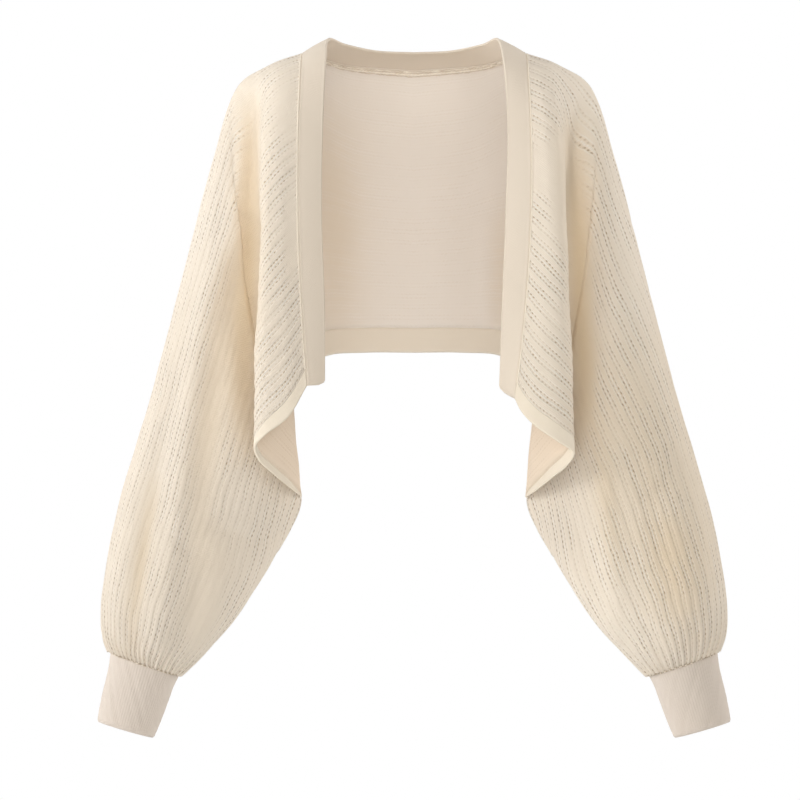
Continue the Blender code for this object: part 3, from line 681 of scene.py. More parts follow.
def new_piece(name, points, faces, materials, places_on_cloth, stands_for=(), look=None, marks=None):
    """A mesh object from arrays of points, in millimetres, and a list of faces, with outward faces and
    each point's place on the cloth as its UV. stands_for names the solid that it takes the place of and its
    slot, which is not used; look gives each face's material, counted in materials, and marks further named
    values of the points for the materials to read."""
    mesh = bpy.data.meshes.new(name)
    mesh.from_pydata(np.ascontiguousarray(points * MM), [], faces)
    layer = mesh.uv_layers.new(name="cloth")
    corners = np.empty(len(mesh.loops), dtype=np.int32)
    mesh.loops.foreach_get("vertex_index", corners)
    layer.data.foreach_set("uv", places_on_cloth[corners].ravel().astype(np.float32))
    for material in materials:
        mesh.materials.append(material)
    if look is not None:
        mesh.polygons.foreach_set("material_index", look)
    for label, values in (marks or {}).items():
        mesh.attributes.new(label, "FLOAT", "POINT").data.foreach_set(
            "value", values.ravel().astype(np.float32))
    shape = bmesh.new()
    shape.from_mesh(mesh)
    bmesh.ops.recalc_face_normals(shape, faces=shape.faces)
    shape.to_mesh(mesh)
    shape.free()
    mesh.shade_smooth()
    piece = bpy.data.objects.new(name, mesh)
    bpy.context.scene.collection.objects.link(piece)
    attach(piece, "root")
    if stands_for:
        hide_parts(stands_for[0])
    return piece


def grid_faces(numbers):
    """Four-sided faces between the neighbours of a grid of point numbers."""
    return np.stack([numbers[:-1, :-1], numbers[:-1, 1:], numbers[1:, 1:], numbers[1:, :-1]],
                    axis=-1).reshape(-1, 4)


def fan_faces(outer, inner, every):
    """Three-sided faces that close the rim between a fine row of point numbers and a coarse one."""
    columns = np.arange(len(outer) - 1)
    hubs = inner[(columns + (every + 1) // 2) // every]
    fans = np.stack([outer[:-1], outer[1:], hubs], axis=-1)
    middles = outer[np.arange(len(inner) - 1) * every + every // 2]
    fills = np.stack([middles, inner[1:], inner[:-1]], axis=-1)
    return np.concatenate([fans, fills])


def wall(name, node, outer, inner, materials, outer_uv, inner_uv, marks):
    """A closed cloth wall from its outer grid and an inner grid that has one column in every few. The
    materials are those of the outer and the inner face. marks are given for the outer grid."""
    rows, width = outer.shape[:2]
    narrow = inner.shape[1]
    outside = np.arange(rows * width).reshape(rows, width)
    inside = rows * width + np.arange(rows * narrow).reshape(rows, narrow)
    quads = [grid_faces(outside), grid_faces(inside)[:, ::-1]]
    for column, place in ((0, 0), (-1, -1)):
        quads.append(grid_faces(np.stack([outside[:, column], inside[:, place]], axis=1)))
    fans = [fan_faces(outside[row], inside[row], INNER_EVERY) for row in (0, -1)]
    faces = np.concatenate(quads).tolist() + np.concatenate(fans).tolist()
    look = np.zeros(len(faces), dtype=np.int32)
    look[len(quads[0]):len(quads[0]) + len(quads[1])] = 1
    points = np.concatenate([outer.reshape(-1, 3), inner.reshape(-1, 3)])
    uv = np.concatenate([outer_uv.reshape(-1, 2), inner_uv.reshape(-1, 2)])
    both = [marks.reshape(-1, 2), marks[:, ::INNER_EVERY].reshape(-1, 2)]
    marks = dict(zip(("quiet", "shade"), np.concatenate(both).T))
    return new_piece(name, points, faces, materials, uv, (node, "pointelle_rib"), look, marks)


def band(name, node, outer, inner, material, uv):
    """A closed band from its two faces, whose grids match and come together at the free edge."""
    rows, width = outer.shape[:2]
    ring = np.concatenate([outer, inner[:, -2::-1]], axis=1)
    ring_uv = np.concatenate([uv, uv[:, -2::-1]], axis=1)
    around = ring.shape[1]
    numbers = np.arange(rows * around).reshape(rows, around)
    closed = np.concatenate([numbers, numbers[:, :1]], axis=1)
    faces = [grid_faces(closed)]
    near, far = numbers[:, :width], numbers[:, -1:width - 2:-1]
    faces += [grid_faces(np.stack([near[row, :-1], far[row, :-1]])) for row in (0, -1)]
    tips = np.array([[near[row, -2], near[row, -1], far[row, -2]] for row in (0, -1)])
    everything = np.concatenate(faces).tolist() + tips.tolist()
    return new_piece(name, ring.reshape(-1, 3), everything, [material], ring_uv.reshape(-1, 2),
                     (node, "smooth_band"))


def tube(name, path, radius, material, around=THREAD_SIDES, closed=False):
    """A round thread along a path: a circle carried square to the path, its radius given at each
    point."""
    travel = unit(np.gradient(path, axis=0))
    if closed:
        travel = unit(np.roll(path, -1, axis=0) - np.roll(path, 1, axis=0))
    side = unit(np.cross(travel, np.array([0.13, 0.21, 0.97])))
    up = np.cross(travel, side)
    turn = np.linspace(0, 2 * math.pi, around, endpoint=False)
    ring = side[:, None] * np.cos(turn)[None, :, None] + up[:, None] * np.sin(turn)[None, :, None]
    points = path[:, None] + ring * radius[:, None, None]
    rows = len(path)
    numbers = np.arange(rows * around).reshape(rows, around)
    numbers = np.concatenate([numbers, numbers[:, :1]], axis=1)
    if closed:
        numbers = np.concatenate([numbers, numbers[:1]])
    faces = grid_faces(numbers).tolist()
    if not closed:
        faces += [numbers[0, :-1].tolist(), numbers[-1, :-1].tolist()]
    run = np.repeat(lengths_along(path)[:, None], around, axis=1)
    uv = np.stack([np.repeat(turn[None], rows, axis=0) / (2 * math.pi), run / SLEEVE_EYELET_PITCH],
                  axis=-1)
    return new_piece(name, points.reshape(-1, 3), faces, [material], uv.reshape(-1, 2))


def steps_from_cuff(grid, pitch):
    """Each point's distance from the cuff along its mesh column, counted in steps of the given pitch,
    which may change from row to row."""
    steps = np.linalg.norm(np.diff(grid, axis=0), axis=-1)
    steps = steps / np.broadcast_to(pitch, len(grid))[1:, None]
    count = np.concatenate([np.zeros((1, grid.shape[1])), np.cumsum(steps, axis=0)])
    return count[-1] - count


def panel_faces(lines, facing, spacing, folds, side, seed, piece_name):
    """Outer face with rib and folds, inner face, places on the cloth, and marks of one panel.
    A place on the cloth is a rib and the distance along it from the cuff in eyelets."""
    grid, normals, places, _, _ = cloth_surfaces(lines, facing, spacing)
    run = steps_from_cuff(grid, 1.0)
    rib = rib_numbers(lines, places, grid.shape[1], ARM_TURN[piece_name])
    first_sleeve = len(lines) - len(SLEEVE_SECTIONS)
    on_sleeve = smooth_step(first_sleeve - 3, first_sleeve + 1, places)
    pitch = FRONT_EYELET_PITCH + (SLEEVE_EYELET_PITCH - FRONT_EYELET_PITCH) * on_sleeve
    uv = np.stack([rib, steps_from_cuff(grid, pitch)], axis=-1)
    real = mirrored(grid, side)
    marks = np.stack([
        np.clip(fold_relief(real, [(*row[:3], row[column]) for row in QUIET_PLACES[piece_name]]), 0, 1)
        for column in (3, 4)], axis=-1)
    relief = rib_relief(rib, run, places, len(lines) - 1) * (1 - QUIET_LOSS * marks[..., 0])
    edges = smooth_step(0, 3, places)[:, None] * smooth_step(0, 1.5, len(lines) - 1 - places)[:, None]
    across = np.linspace(0, 1, grid.shape[1])
    edges = edges * smooth_step(0, EDGE_FADE, across) * smooth_step(0, EDGE_FADE, 1 - across)
    drape = (fold_relief(real, folds) + SWELL_HEIGHT * unevenness(real, seed)) * edges
    grid = grid + waver(grid, run, seed) * edges[..., None]
    outer = grid + normals * (KNIT_THICKNESS / 2 + relief + drape)[..., None]
    inner = grid + normals * (drape - KNIT_THICKNESS / 2 + RIB_INSIDE_SHARE * relief)[..., None]
    return outer, inner[:, ::INNER_EVERY], uv, uv[:, ::INNER_EVERY], marks


def make_front(side_name, materials):
    """One front with the front half of its sleeve."""
    side = SIDES[side_name]
    outer, inner, uv, inner_uv, marks = panel_faces(
        front_lines(side_name), -1, FRONT_ROW_SPACING, FRONT_FOLDS[side_name], side, len(side_name),
        side_name)
    return wall(f"{side_name}_front_knit", f"{side_name}_front", mirrored(outer, side),
                mirrored(inner, side), materials, uv, inner_uv, marks)


def make_back(materials):
    """The back with the back half of both sleeves, from cuff to cuff."""
    halves = [panel_faces(back_lines(), 1, BACK_ROW_SPACING, BACK_FOLDS, side, 11, "back")
              for side in (-1.0, 1.0)]
    outer, inner, uv, inner_uv, marks = (
        np.concatenate([first[:0:-1], second]) for first, second in zip(*halves))
    middle = len(outer) - len(halves[1][0])
    outer[:middle] = mirrored(outer[:middle], -1.0)
    inner[:middle] = mirrored(inner[:middle], -1.0)
    return wall("back_knit", "back", outer, inner, materials, uv, inner_uv, marks)


def rounded(half, across, width, free_radius, seam_radius, seam_share):
    """Half thickness over a band's width: full, rounded off at the free edge and thinner at the seam."""
    from_free = (1 - across) * width
    from_seam = across * width
    free = np.sqrt(np.clip(1 - np.clip(1 - from_free / free_radius, 0, 1)**2, 0, 1))
    seam = seam_share + (1 - seam_share) * smooth_step(0, seam_radius, from_seam)
    return half * free * seam


def hem_band(name, node, lines, facing, spacing, side, material):
    """A hem band: the knit's lower strip, rounded at its free edge, down to a point at the underarm.
    Where side is None, it goes on over the middle of the body to the other underarm."""
    _, _, _, grid, normals = cloth_surfaces(lines, facing, spacing)
    across = np.linspace(0, 1, grid.shape[1])[None, :]
    width = np.linalg.norm(grid[:, -1] - grid[:, 0], axis=-1)[:, None]
    half = rounded(HEM_THICKNESS / 2, across, width, HEM_EDGE_RADIUS, HEM_SEAM_RADIUS, HEM_SEAM_SHARE)
    half = half[..., None]
    grid[:, 0] -= unit(grid[:, 1] - grid[:, 0]) * SEAM_TUCK
    run = lengths_along(grid[:, 0])[:, None]
    uv = np.stack(np.broadcast_arrays(across * width, run), axis=-1)
    outer, inner = grid + normals * half, grid - normals * half
    if side is None:
        outer, inner = both_sides(outer), both_sides(inner)
        uv = np.concatenate([uv[:0:-1] * np.array([1.0, -1.0]), uv])
    else:
        outer, inner = mirrored(outer, side), mirrored(inner, side)
    return band(name, node, outer, inner, material, uv)


def band_seam(side_name):
    """The band's seam on the +X side, from its end to the middle of the back: points, normals of the
    cloth there, and places as in the table of edges."""
    front, front_normals, _, hem, hem_normals = cloth_surfaces(front_lines(side_name), -1, 6.0)
    front_line = np.concatenate([front[0, ::2], hem[0, 2::2]])[::-1]
    front_turn = np.concatenate([front_normals[0, ::2], hem_normals[0, 2::2]])[::-1]
    back, back_normals, places, _, _ = cloth_surfaces(back_lines(), 1, 3.0)
    neck_end = next(index for index, row in enumerate(BACK_SECTIONS) if row[1] == 1.0)
    rows = np.flatnonzero(places < neck_end)[::-1]
    neck_line = np.concatenate([front_line[-1:], back[rows, 0]])
    front_share = lengths_along(front_line)
    neck_share = lengths_along(neck_line)
    at = np.concatenate([front_share / front_share[-1], 1 + neck_share[1:] / neck_share[-1]])
    seam = np.concatenate([front_line, neck_line[1:]])
    return seam, np.concatenate([front_turn, back_normals[rows, 0]]), at


def band_half(side_name):
    """Outer and inner face of half the neck band on the +X side, from its end to the middle back,
    with its places on the cloth."""
    seam, seam_normals, at = band_seam(side_name)
    table = BAND_EDGES[side_name]
    edge = spline([row[1] for row in table], np.interp(at, [row[0] for row in table],
                                                      np.arange(len(table))))
    travel = unit(np.gradient(seam, axis=0))
    inwards = unit(np.cross(travel, seam_normals))
    inwards *= np.sign(np.sum(inwards * (edge - seam), axis=-1, keepdims=True))
    start = seam - inwards * SEAM_TUCK
    from_end = lengths_along(seam)
    lift = np.clip(1 - from_end / BAND_CORNER_RADIUS, 0, 1)
    width = np.linalg.norm(edge - start, axis=-1)
    reach = 1 - BAND_CORNER_RADIUS / width * (1 - np.sqrt(1 - lift**2))
    across = 0.5 - 0.5 * np.cos(np.linspace(0, math.pi, BAND_COLUMNS))
    grid = start[:, None] + (edge - start)[:, None] * (across[None, :] * reach[:, None])[..., None]
    normals = unit(np.cross(np.gradient(grid, axis=0), np.gradient(grid, axis=1)))
    normals *= np.sign(np.sum(normals[:, :1] * seam_normals[:, None], axis=-1, keepdims=True))
    blend = np.clip(1 - across / 0.25, 0, 1)[None, :, None]
    normals = unit(normals * (1 - blend) + seam_normals[:, None] * blend)
    crown = BAND_CROWN * np.sin(np.pi * across)[None, :, None]
    grid = grid + normals * crown
    normals[-1, :, 0] = 0.0
    normals = unit(normals)
    half = rounded(BAND_THICKNESS / 2, across[None, :], (width * reach)[:, None], BAND_EDGE_RADIUS,
                   BAND_SEAM_RADIUS, BAND_SEAM_SHARE)
    half = half * np.sqrt(1 - np.clip(1 - from_end / BAND_EDGE_RADIUS, 0, 0.97)**2)[:, None]
    from_seam, from_free = across * width[:, None], (1 - across) * width[:, None]
    for place, spread, height in BAND_LINES:
        reach_in = from_seam if place > 0 else from_free
        half = half + height * np.exp(-((reach_in - abs(place)) / spread)**2)
    uv = np.stack(np.broadcast_arrays(across[None, :] * width[:, None], from_end[:, None]), axis=-1)
    return grid + normals * half[..., None], grid - normals * half[..., None], uv


def make_neck_band(material):
    """The band up the right front, round the back neck and down the left front."""
    right_outer, right_inner, right_uv = band_half("right")
    left_outer, left_inner, left_uv = band_half("left")
    outer = np.concatenate([mirrored(right_outer, -1.0), left_outer[-2::-1]])
    inner = np.concatenate([mirrored(right_inner, -1.0), left_inner[-2::-1]])
    middle = len(right_outer) - 1
    outer[middle, :, 0] = 0.0
    inner[middle, :, 0] = 0.0
    total = right_uv[-1:, :, 1:] + left_uv[-1:, :, 1:]
    left_uv = np.concatenate([left_uv[..., :1], total - left_uv[..., 1:]], axis=-1)
    uv = np.concatenate([right_uv, left_uv[-2::-1]])
    return band("neck_band_knit", "neck_band", outer, inner, material, uv)


def cuff_ring(share, grow):
    """Rings of the cuff on the +X side: ellipses that narrow from the seam with the sleeve, share 0, to
    the wrist, share 1. grow is how far each point stands out of the middle of the wall."""
    top_centre, top_across, _ = cuff_frame()
    end_centre = np.array([CUFF_END_CENTRE[0], 0.0, CUFF_END_CENTRE[1]])
    end_across = np.array([CUFF_END_ACROSS[0], 0.0, CUFF_END_ACROSS[1]])
    share = share[:, None, None]
    centre = top_centre * (1 - share) + end_centre * share
    across = unit(top_across * (1 - share) + end_across * share)
    waist = CUFF_WAIST * np.sin(math.pi * np.clip(share * 2, 0, 1)) * (1 - share)
    width = CUFF_TOP_HALF_WIDTH * (1 - share) + CUFF_END_HALF_WIDTH * share - waist
    depth = SLEEVE_SECTIONS[-1][3] * (1 - share) + CUFF_END_HALF_DEPTH * share
    turn = np.linspace(0, 2 * math.pi, grow.shape[1], endpoint=False)[None, :, None]
    grow = grow[..., None]
    return (centre + across * (width + grow) * np.cos(turn)
            + np.array([0.0, 1.0, 0.0]) * (depth + grow) * np.sin(turn))


def make_cuff(side_name, material):
    """A long cuff: an elliptical tube that narrows to the wrist, with fine ribs along it. Its wall's
    outline is carried round: up the outer face, over the wrist edge and back along the inner face."""
    count = CUFF_COLUMNS_PER_RIB * CUFF_RIBS
    turn = np.linspace(0, 1, count, endpoint=False)
    ridge = 0.5 + 0.5 * np.cos(2 * math.pi * CUFF_RIBS * turn)
    share = np.linspace(0, 1, CUFF_ROWS)
    soft = CUFF_SWELL_HEIGHT * wander(share[:, None] * 60 + 300 * turn[None, :], 11, CUFF_SWELL_LENGTH)
    edge = np.sqrt(1 - np.clip((share - 1) / CUFF_EDGE_SHARE + 1, 0, 0.98)**2)[:, None]
    outer = (CUFF_THICKNESS / 2 + CUFF_RIB_HEIGHT * ridge[None, :]) * edge + soft
    inner = (-CUFF_THICKNESS / 2 + 0.3 * CUFF_RIB_HEIGHT * ridge[None, :]) * edge + soft
    faces_out = cuff_ring(share, outer)
    faces_in = cuff_ring(share, inner)
    loop = np.concatenate([faces_out, faces_in[::-1]])
    numbers = np.arange(len(loop) * count).reshape(len(loop), count)
    numbers = np.concatenate([numbers, numbers[:, :1]], axis=1)
    numbers = np.concatenate([numbers, numbers[:1]])
    down = np.concatenate([share, share[::-1]])[:, None] * CUFF_LENGTH
    uv = np.stack(np.broadcast_arrays(turn[None, :] * CUFF_RIBS, down), axis=-1)
    return new_piece(f"{side_name}_cuff_knit", mirrored(loop, SIDES[side_name]).reshape(-1, 3),
                     grid_faces(numbers).tolist(), [material], uv.reshape(-1, 2),
                     (f"{side_name}_cuff", "fine_rib"))


def cuff_seam_path(side_name, out, count):
    """The cuff's seam line, out from the middle of its wall, wandering slightly up and down."""
    ring = cuff_ring(np.array([0.0]), np.full((1, count), out))[0]
    _, _, axis = cuff_frame()
    turn = np.arange(count) / count
    drift = 0.5 + 0.45 * np.sin(turn * 10 * math.pi) * np.cos(turn * 6 * math.pi + 1.0)
    return mirrored(ring + axis * drift[:, None], SIDES[side_name])


def make_cuff_seam(side_name, material):
    """The linked seam where the gathered sleeve joins the cuff: a thin sunk line round the ring, its dark
    colour a painted shadow.
    """
    path = cuff_seam_path(side_name, CUFF_SEAM_OUT, 360)
    radius = np.full(len(path), CUFF_SEAM_RADIUS)
    return tube(f"{side_name}_cuff_seam", path, radius, material, closed=True)


def make_cuff_stitches(side_name, material):
    """Short pale stitches that show here and there along the cuff's seam: a thread that swells on every
    eighteenth point, where a slow wandering lets it."""
    path = cuff_seam_path(side_name, CUFF_STITCH_OUT, 720)
    place = np.arange(len(path))
    shown = smooth_step(0.15, 0.6, np.sin(place * 2 * math.pi / 18) + 0.8 * wander(place, 31, 160.0))
    thin, thick = CUFF_STITCH_RADIUS
    return tube(f"{side_name}_cuff_stitches", path, thin + (thick - thin) * shown, material, 6, closed=True)


def make_front_seam(side_name, material):
    """The linked ridge on the knit beside the band's seam, up one front, a little uneven with each
    stitch and more slowly, and thinned out at its top end."""
    front, normals, _, _, _ = cloth_surfaces(front_lines(side_name), -1, 2.0)
    run = lengths_along(front[0])
    path = (front[0] + front[1]) / 2 + normals[0] * FRONT_SEAM_OUT
    uneven = 0.16 * np.sin(run * 2 * math.pi / FRONT_STITCH) + 0.1 * wander(run, 8, 60.0)
    radius = (FRONT_SEAM_RADIUS + uneven) * smooth_step(0, 8, run) + THINNEST_THREAD
    return tube(f"{side_name}_front_seam", mirrored(path, SIDES[side_name]), radius, material)


def make_neck_seam(number, column, thickness, material):
    """One of the linking lines inside the back neck, a few mesh columns below the band's seam; the darker
    ones paint the shadow lines between the linking ridges. Its height is evened out by a bell, and then
    waves slowly and with each stitch."""
    back, normals, places, _, _ = cloth_surfaces(back_lines(), 1, 3.0)
    rows = places <= NECK_LINE_END
    line = both_sides(back[rows, column] - normals[rows, column] * NECK_LINE_DEPTH)
    fine = np.arange(0, lengths_along(line)[-1], NECK_LINE_STEP)
    path = read_line(line, fine)
    bell = np.hanning(2 * NECK_LINE_EASE + 1)
    high = np.pad(path[:, 2], NECK_LINE_EASE, mode="edge")
    path[:, 2] = np.convolve(high, bell / bell.sum(), mode="valid")
    beat = fine * 2 * math.pi / NECK_STITCH
    path[:, 2] += 0.5 * wander(fine, 20 + number, 26.0) + 0.25 * np.sin(beat)
    radius = thickness * (1 + 0.25 * np.sin(beat + number))
    ends = smooth_step(0, 10, fine) * smooth_step(0, 10, fine[-1] - fine)
    return tube(f"neck_linking_{number}", path, radius * ends + THINNEST_THREAD, material)


class Nodes:
    """Short calls that add shader nodes to one tree."""

    def __init__(self, tree):
        self.tree = tree

    def add(self, kind, **values):
        """A node of one kind, with its properties set."""
        node = self.tree.nodes.new(kind)
        for key, value in values.items():
            setattr(node, key, value)
        return node

    def link(self, source, target):
        """Join an output to an input, or set the input where a number is given."""
        if isinstance(source, (int, float, tuple)):
            target.default_value = source
        else:
            self.tree.links.new(source, target)

    def math(self, operation, first, second=0.0, third=0.0):
        """One Math node."""
        node = self.add("ShaderNodeMath", operation=operation)
        for source, target in zip((first, second, third), node.inputs):
            self.link(source, target)
        return node.outputs[0]

    def times(self, first, second):
        """One value times another."""
        return self.math("MULTIPLY", first, second)

    def plus(self, first, second):
        """Two values added."""
        return self.math("ADD", first, second)

    def minus(self, first, second):
        """The second value taken from the first."""
        return self.math("SUBTRACT", first, second)

    def gap(self, value, place):
        """How far a value is from a place."""
        return self.math("ABSOLUTE", self.minus(value, place))

    def ramp(self, value, low, high, to_low=0.0, to_high=1.0):
        """A value carried smoothly from one range to another."""
        node = self.add("ShaderNodeMapRange", interpolation_type="SMOOTHSTEP")
        for source, target in zip((value, low, high, to_low, to_high), node.inputs):
            self.link(source, target)
        return node.outputs[0]

    def split(self, vector):
        """The first two parts of a vector."""
        node = self.add("ShaderNodeSeparateXYZ")
        self.link(vector, node.inputs[0])
        return node.outputs[0], node.outputs[1]

    def stretch(self, vector, factors):
        """A vector scaled along its axes."""
        node = self.add("ShaderNodeVectorMath", operation="MULTIPLY")
        self.link(vector, node.inputs[0])
        node.inputs[1].default_value = factors
        return node.outputs[0]

    def noise(self, vector, scale, detail=2.0):
        """Noise between 0 and 1."""
        node = self.add("ShaderNodeTexNoise")
        self.link(vector, node.inputs["Vector"])
        node.inputs["Scale"].default_value = scale
        node.inputs["Detail"].default_value = detail
        return node.outputs["Fac"]

    def mix(self, share, first, second):
        """Two colours mixed."""
        node = self.add("ShaderNodeMix", data_type="RGBA")
        self.link(share, node.inputs["Factor"])
        self.link(first, node.inputs["A"])
        self.link(second, node.inputs["B"])
        return node.outputs["Result"]


def group_with(name, inputs, outputs):
    """An empty shader group with named inputs and outputs."""
    tree = bpy.data.node_groups.new(name, "ShaderNodeTree")
    for label, kind in inputs:
        tree.interface.new_socket(name=label, in_out="INPUT", socket_type=kind)
    for label in outputs:
        tree.interface.new_socket(name=label, in_out="OUTPUT", socket_type="NodeSocketFloat")
    nodes = Nodes(tree)
    return nodes, nodes.add("NodeGroupInput"), nodes.add("NodeGroupOutput")


def pointelle_group():
    """Pointelle rib on the cloth's own places: x counts ribs from furrow to furrow and y counts
    eyelets. Two lines of small long eyelets run beside each furrow, one a little later than the other,
    each eyelet an ellipse with a soft rim, and a faint drawn line joins those of a line. A thread of
    raised stitches runs along the furrow and one outside each line. Elsewhere the stitches lie as small
    chevrons. The eyelets open unevenly, and close in quiet places. Eyelet also gives the share of painted
    shade in the eyelets and along the drawn line, and Thread the share of painted highlight on the raised
    threads."""
    nodes, given, made = group_with(
        "pointelle", [("Place", "NodeSocketVector"), ("Quiet", "NodeSocketFloat")],
        ["Height", "Eyelet", "Thread"])
    place = given.outputs["Place"]
    loud = nodes.ramp(given.outputs["Quiet"], 0.1, 0.6, 1.0, 0.0)
    patch = nodes.ramp(nodes.noise(nodes.stretch(place, (1.0, 0.25, 1.0)), 0.4, 1.0), 0.36, 0.6, 0.3, 1.0)
    uneven = nodes.ramp(nodes.noise(nodes.stretch(place, (3.0, 1.1, 1.0)), 1.0, 0.0), 0.3, 0.6, 0.45, 1.0)
    shown = nodes.times(patch, loud)
    rib, step = nodes.split(place)
    wobble = nodes.minus(nodes.noise(place, 0.9, 1.0), 0.5)
    rib = nodes.plus(rib, nodes.times(wobble, 0.12))
    step = nodes.plus(step, nodes.times(wobble, 0.5))
    off = nodes.minus(nodes.math("FRACT", nodes.plus(rib, 0.5)), 0.5)
    away = nodes.math("ABSOLUTE", off)
    aside = nodes.minus(away, EYELET_ASIDE)
    lag = nodes.times(nodes.math("GREATER_THAN", off, 0.0), EYELET_LAG)
    along = nodes.minus(nodes.math("FRACT", nodes.plus(step, lag)), 0.5)
    wide = nodes.math("POWER", nodes.math("DIVIDE", aside, EYELET_HALF_WIDTH), 2.0)
    tall = nodes.math("POWER", nodes.math("DIVIDE", along, EYELET_HALF_LENGTH), 2.0)
    reach = nodes.math("SQRT", nodes.plus(wide, tall))
    eyelet = nodes.times(nodes.ramp(reach, 0.45, 1.4, 1.0, 0.0), nodes.times(shown, uneven))
    drawn = nodes.times(nodes.ramp(nodes.math("ABSOLUTE", aside), 0.015, 0.08, 0.12, 0.0), shown)
    eyelet = nodes.math("MAXIMUM", eyelet, drawn)
    dash = nodes.ramp(nodes.math("SINE", nodes.times(step, 4 * math.pi)), -0.6, 0.7, 0.35, 1.0)
    middle = nodes.times(nodes.ramp(away, 0.02, 0.11, 1.0, 0.0), dash)
    outside = nodes.ramp(nodes.gap(away, OUTER_THREAD_ASIDE), 0.0, 0.07, 0.6, 0.0)
    thread = nodes.times(nodes.plus(middle, outside), shown)
    wale = nodes.gap(nodes.math("FRACT", nodes.times(rib, WALES_PER_RIB)), 0.5)
    course = nodes.plus(nodes.times(step, COURSES_PER_EYELET), nodes.times(wale, 1.2))
    chevron = nodes.math("SINE", nodes.times(course, 2 * math.pi))
    groove = nodes.ramp(wale, 0.0, 0.22)
    stitch = nodes.plus(nodes.times(chevron, 0.22), nodes.times(groove, 0.3))
    height = nodes.plus(stitch, nodes.times(thread, 0.9))
    height = nodes.minus(height, nodes.times(eyelet, 0.6))
    for value, label in ((height, "Height"), (eyelet, "Eyelet"), (thread, "Thread")):
        nodes.link(value, made.inputs[label])
    return nodes.tree


def plain_knit_group():
    """Plain knit on the cloth's own places in millimetres: rows of small chevrons between grooves."""
    nodes, given, made = group_with("plain_knit", [("Place", "NodeSocketVector")], ["Height"])
    across, along = nodes.split(given.outputs["Place"])
    wale = nodes.gap(nodes.math("FRACT", nodes.math("DIVIDE", along, PLAIN_WALE)), 0.5)
    course = nodes.plus(nodes.math("DIVIDE", across, PLAIN_COURSE), wale)
    chevron = nodes.math("SINE", nodes.times(course, 2 * math.pi))
    groove = nodes.ramp(wale, 0.0, 0.2)
    nodes.link(nodes.plus(nodes.times(chevron, 0.3), nodes.times(groove, 0.5)), made.inputs["Height"])
    return nodes.tree


def yarn_group():
    """Slight unevenness of the yarn over the whole garment: slow changes of tone and fine fuzz."""
    nodes, given, made = group_with("yarn", [("Place", "NodeSocketVector")], ["Tone", "Fuzz"])
    for label, scale in (("Tone", 9.0), ("Fuzz", 900.0)):
        nodes.link(nodes.noise(given.outputs["Place"], scale), made.inputs[label])
    return nodes.tree


def cloth_material(groups, name, light, deep, pattern, relief, through):
    """Matt yarn: two close tones, with painted shade in the eyelets, a painted highlight on the raised
    threads, warmer painted shade where the cloth is marked as shaded and a painted glow, with the knit's
    relief as bump."""
    material = bpy.data.materials.new(name)
    material.use_nodes = True
    nodes = Nodes(material.node_tree)
    shader = material.node_tree.nodes["Principled BSDF"]
    shader.inputs["Roughness"].default_value = 0.95
    shader.inputs["Specular IOR Level"].default_value = 0.2
    shader.inputs["Sheen Weight"].default_value = 0.15
    shader.inputs["Sheen Roughness"].default_value = 0.6
    yarn = nodes.add("ShaderNodeGroup", node_tree=groups["yarn"])
    nodes.link(nodes.add("ShaderNodeTexCoord").outputs["Object"], yarn.inputs["Place"])
    colour = nodes.mix(yarn.outputs["Tone"], (*deep, 1.0), (*light, 1.0))
    height = nodes.times(yarn.outputs["Fuzz"], 0.25)
    if pattern:
        knit = nodes.add("ShaderNodeGroup", node_tree=groups[pattern])
        nodes.link(nodes.add("ShaderNodeUVMap", uv_map="cloth").outputs[0], knit.inputs["Place"])
        height = nodes.plus(height, knit.outputs["Height"])
    if name in EYELETS:
        hole, accent = EYELETS[name]
        quiet = nodes.add("ShaderNodeAttribute", attribute_name="quiet").outputs["Fac"]
        shade = nodes.add("ShaderNodeAttribute", attribute_name="shade").outputs["Fac"]
        nodes.link(quiet, knit.inputs["Quiet"])
        warm = tuple(channel * share for channel, share in zip(deep, WARM_SHADE))
        pale = tuple(channel**accent for channel in light)
        # Painted shade: the colour turns to the darker shaded tone where the shade mark is set, as beside
        # the crests and in furrows
        colour = nodes.mix(shade, colour, (*warm, 1.0))
        # Painted highlight: the raised threads turn paler than the light tone, as if lit on their tops
        colour = nodes.mix(nodes.times(knit.outputs["Thread"], 0.8), colour, (*pale, 1.0))
        # Painted shade: the eyelets and the drawn lines between them darken towards the eyelet colour
        colour = nodes.mix(knit.outputs["Eyelet"], colour, (*hole, 1.0))
    nodes.link(colour, shader.inputs["Base Color"])
    # Painted glow: the colour is given off at the strength of light through, standing in for light through
    # the loose knit
    nodes.link(colour, shader.inputs["Emission Color"])
    shader.inputs["Emission Strength"].default_value = through
    bump = nodes.add("ShaderNodeBump")
    bump.inputs["Strength"].default_value = 1.0
    bump.inputs["Distance"].default_value = relief * MM
    nodes.link(height, bump.inputs["Height"])
    nodes.link(bump.outputs["Normal"], shader.inputs["Normal"])
    return material


def area_light(name, place, target, size, power, colour):
    """A soft square light that faces a point."""
    lamp = bpy.data.lights.new(name, "AREA")
    lamp.size = size
    lamp.energy = power
    lamp.color = colour
    light = bpy.data.objects.new(name, lamp)
    light.location = place
    aim = mathutils.Vector(target) - mathutils.Vector(place)
    light.rotation_euler = aim.to_track_quat("-Z", "Y").to_euler()
    bpy.context.scene.collection.objects.link(light)


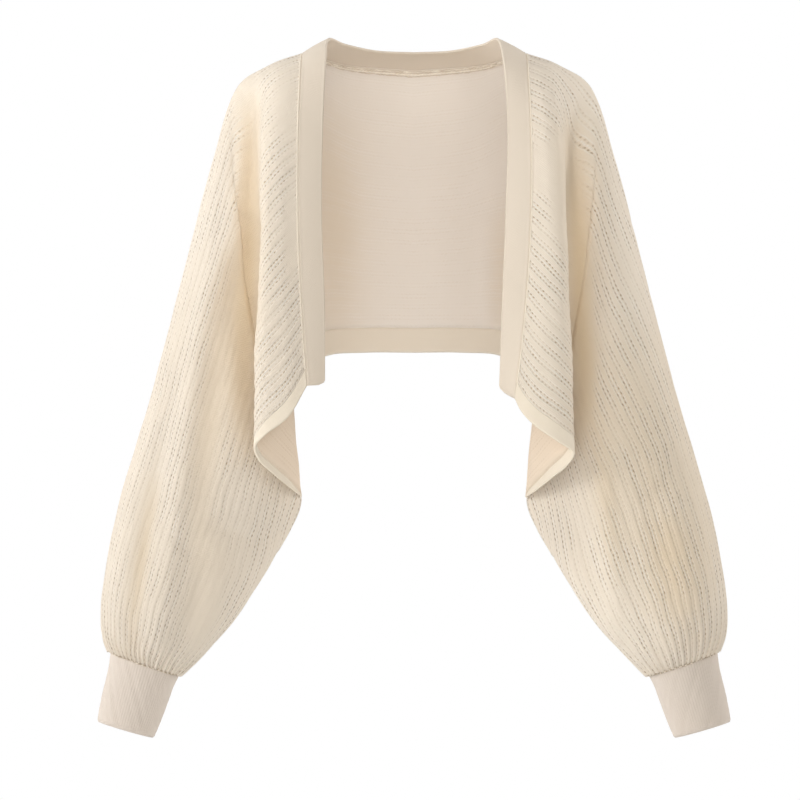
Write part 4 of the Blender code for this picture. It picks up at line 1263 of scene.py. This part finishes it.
def make_stage():
    """A plain pale floor well below the garment, soft light that is brighter on the left, a white
    background, and the camera straight in front, 6 m away, as the photograph looks."""
    scene = bpy.context.scene
    scene.view_settings.view_transform = "Standard"
    world = bpy.data.worlds.new("studio")
    world.use_nodes = True
    nodes = Nodes(world.node_tree)
    world.node_tree.nodes.clear()
    soft = nodes.add("ShaderNodeBackground")
    soft.inputs["Color"].default_value = (1.0, 0.985, 0.96, 1.0)
    soft.inputs["Strength"].default_value = 0.06
    seen = nodes.add("ShaderNodeBackground")
    seen.inputs["Color"].default_value = (1.0, 1.0, 1.0, 1.0)
    seen.inputs["Strength"].default_value = 1.0
    path = nodes.add("ShaderNodeLightPath")
    blend = nodes.add("ShaderNodeMixShader")
    out = nodes.add("ShaderNodeOutputWorld")
    nodes.link(path.outputs["Is Camera Ray"], blend.inputs[0])
    nodes.link(soft.outputs[0], blend.inputs[1])
    nodes.link(seen.outputs[0], blend.inputs[2])
    nodes.link(blend.outputs[0], out.inputs["Surface"])
    scene.world = world

    paint = bpy.data.materials.new("pale_floor")
    paint.use_nodes = True
    shader = paint.node_tree.nodes["Principled BSDF"]
    shader.inputs["Base Color"].default_value = (0.9, 0.9, 0.89, 1.0)
    shader.inputs["Roughness"].default_value = 0.9
    mesh = bpy.data.meshes.new("floor")
    corners = [(x * FLOOR_HALF_SIZE, y * FLOOR_HALF_SIZE, FLOOR_LEVEL)
               for x, y in ((-1, -1), (1, -1), (1, 1), (-1, 1))]
    mesh.from_pydata(corners, [], [(0, 1, 2, 3)])
    mesh.materials.append(paint)
    floor = bpy.data.objects.new("floor", mesh)
    scene.collection.objects.link(floor)

    for name, place, size, power, colour in LIGHTS:
        area_light(name, place, LIGHTS_AIM, size, power, colour)

    lens = bpy.data.cameras.new("camera")
    lens.sensor_width = 36.0
    lens.lens = LENS_LENGTH
    camera = bpy.data.objects.new("camera", lens)
    camera.location = CAMERA_PLACE
    camera.rotation_euler = (math.pi / 2, 0.0, 0.0)
    scene.collection.objects.link(camera)
    scene.camera = camera


def main():
    groups = {"yarn": yarn_group(), "pointelle": pointelle_group(), "plain_knit": plain_knit_group()}
    knits = {row[0]: cloth_material(groups, *row) for row in KNITS}
    back = make_back([knits["cream_pointelle"], knits["cream_pointelle_back_inside"]])
    linking = [make_neck_seam(number, column, thickness, knits[knit])
               for number, (column, thickness, knit) in enumerate(NECK_LINES, 1)]
    neck = make_neck_band(knits["cream_smooth_knit"])
    back_hem = hem_band("back_hem_knit", "back_hem_band", back_lines(), 1, BACK_ROW_SPACING, None,
                        knits["cream_back_hem_knit"])
    for side_name, side in SIDES.items():
        front = make_front(side_name, [knits["cream_pointelle"], knits["cream_pointelle_inside"]])
        ridge = make_front_seam(side_name, knits["linking_yarn"])
        strip = hem_band(f"{side_name}_hem_knit", f"{side_name}_hem_band", front_lines(side_name), -1,
                         FRONT_ROW_SPACING, side, knits["cream_hem_knit"])
        cuff = make_cuff(side_name, knits["beige_fine_rib"])
        seam = make_cuff_seam(side_name, knits["sunk_seam_painted_shadow"])
        stitches = make_cuff_stitches(side_name, knits["linking_yarn"])
    make_stage()


main()
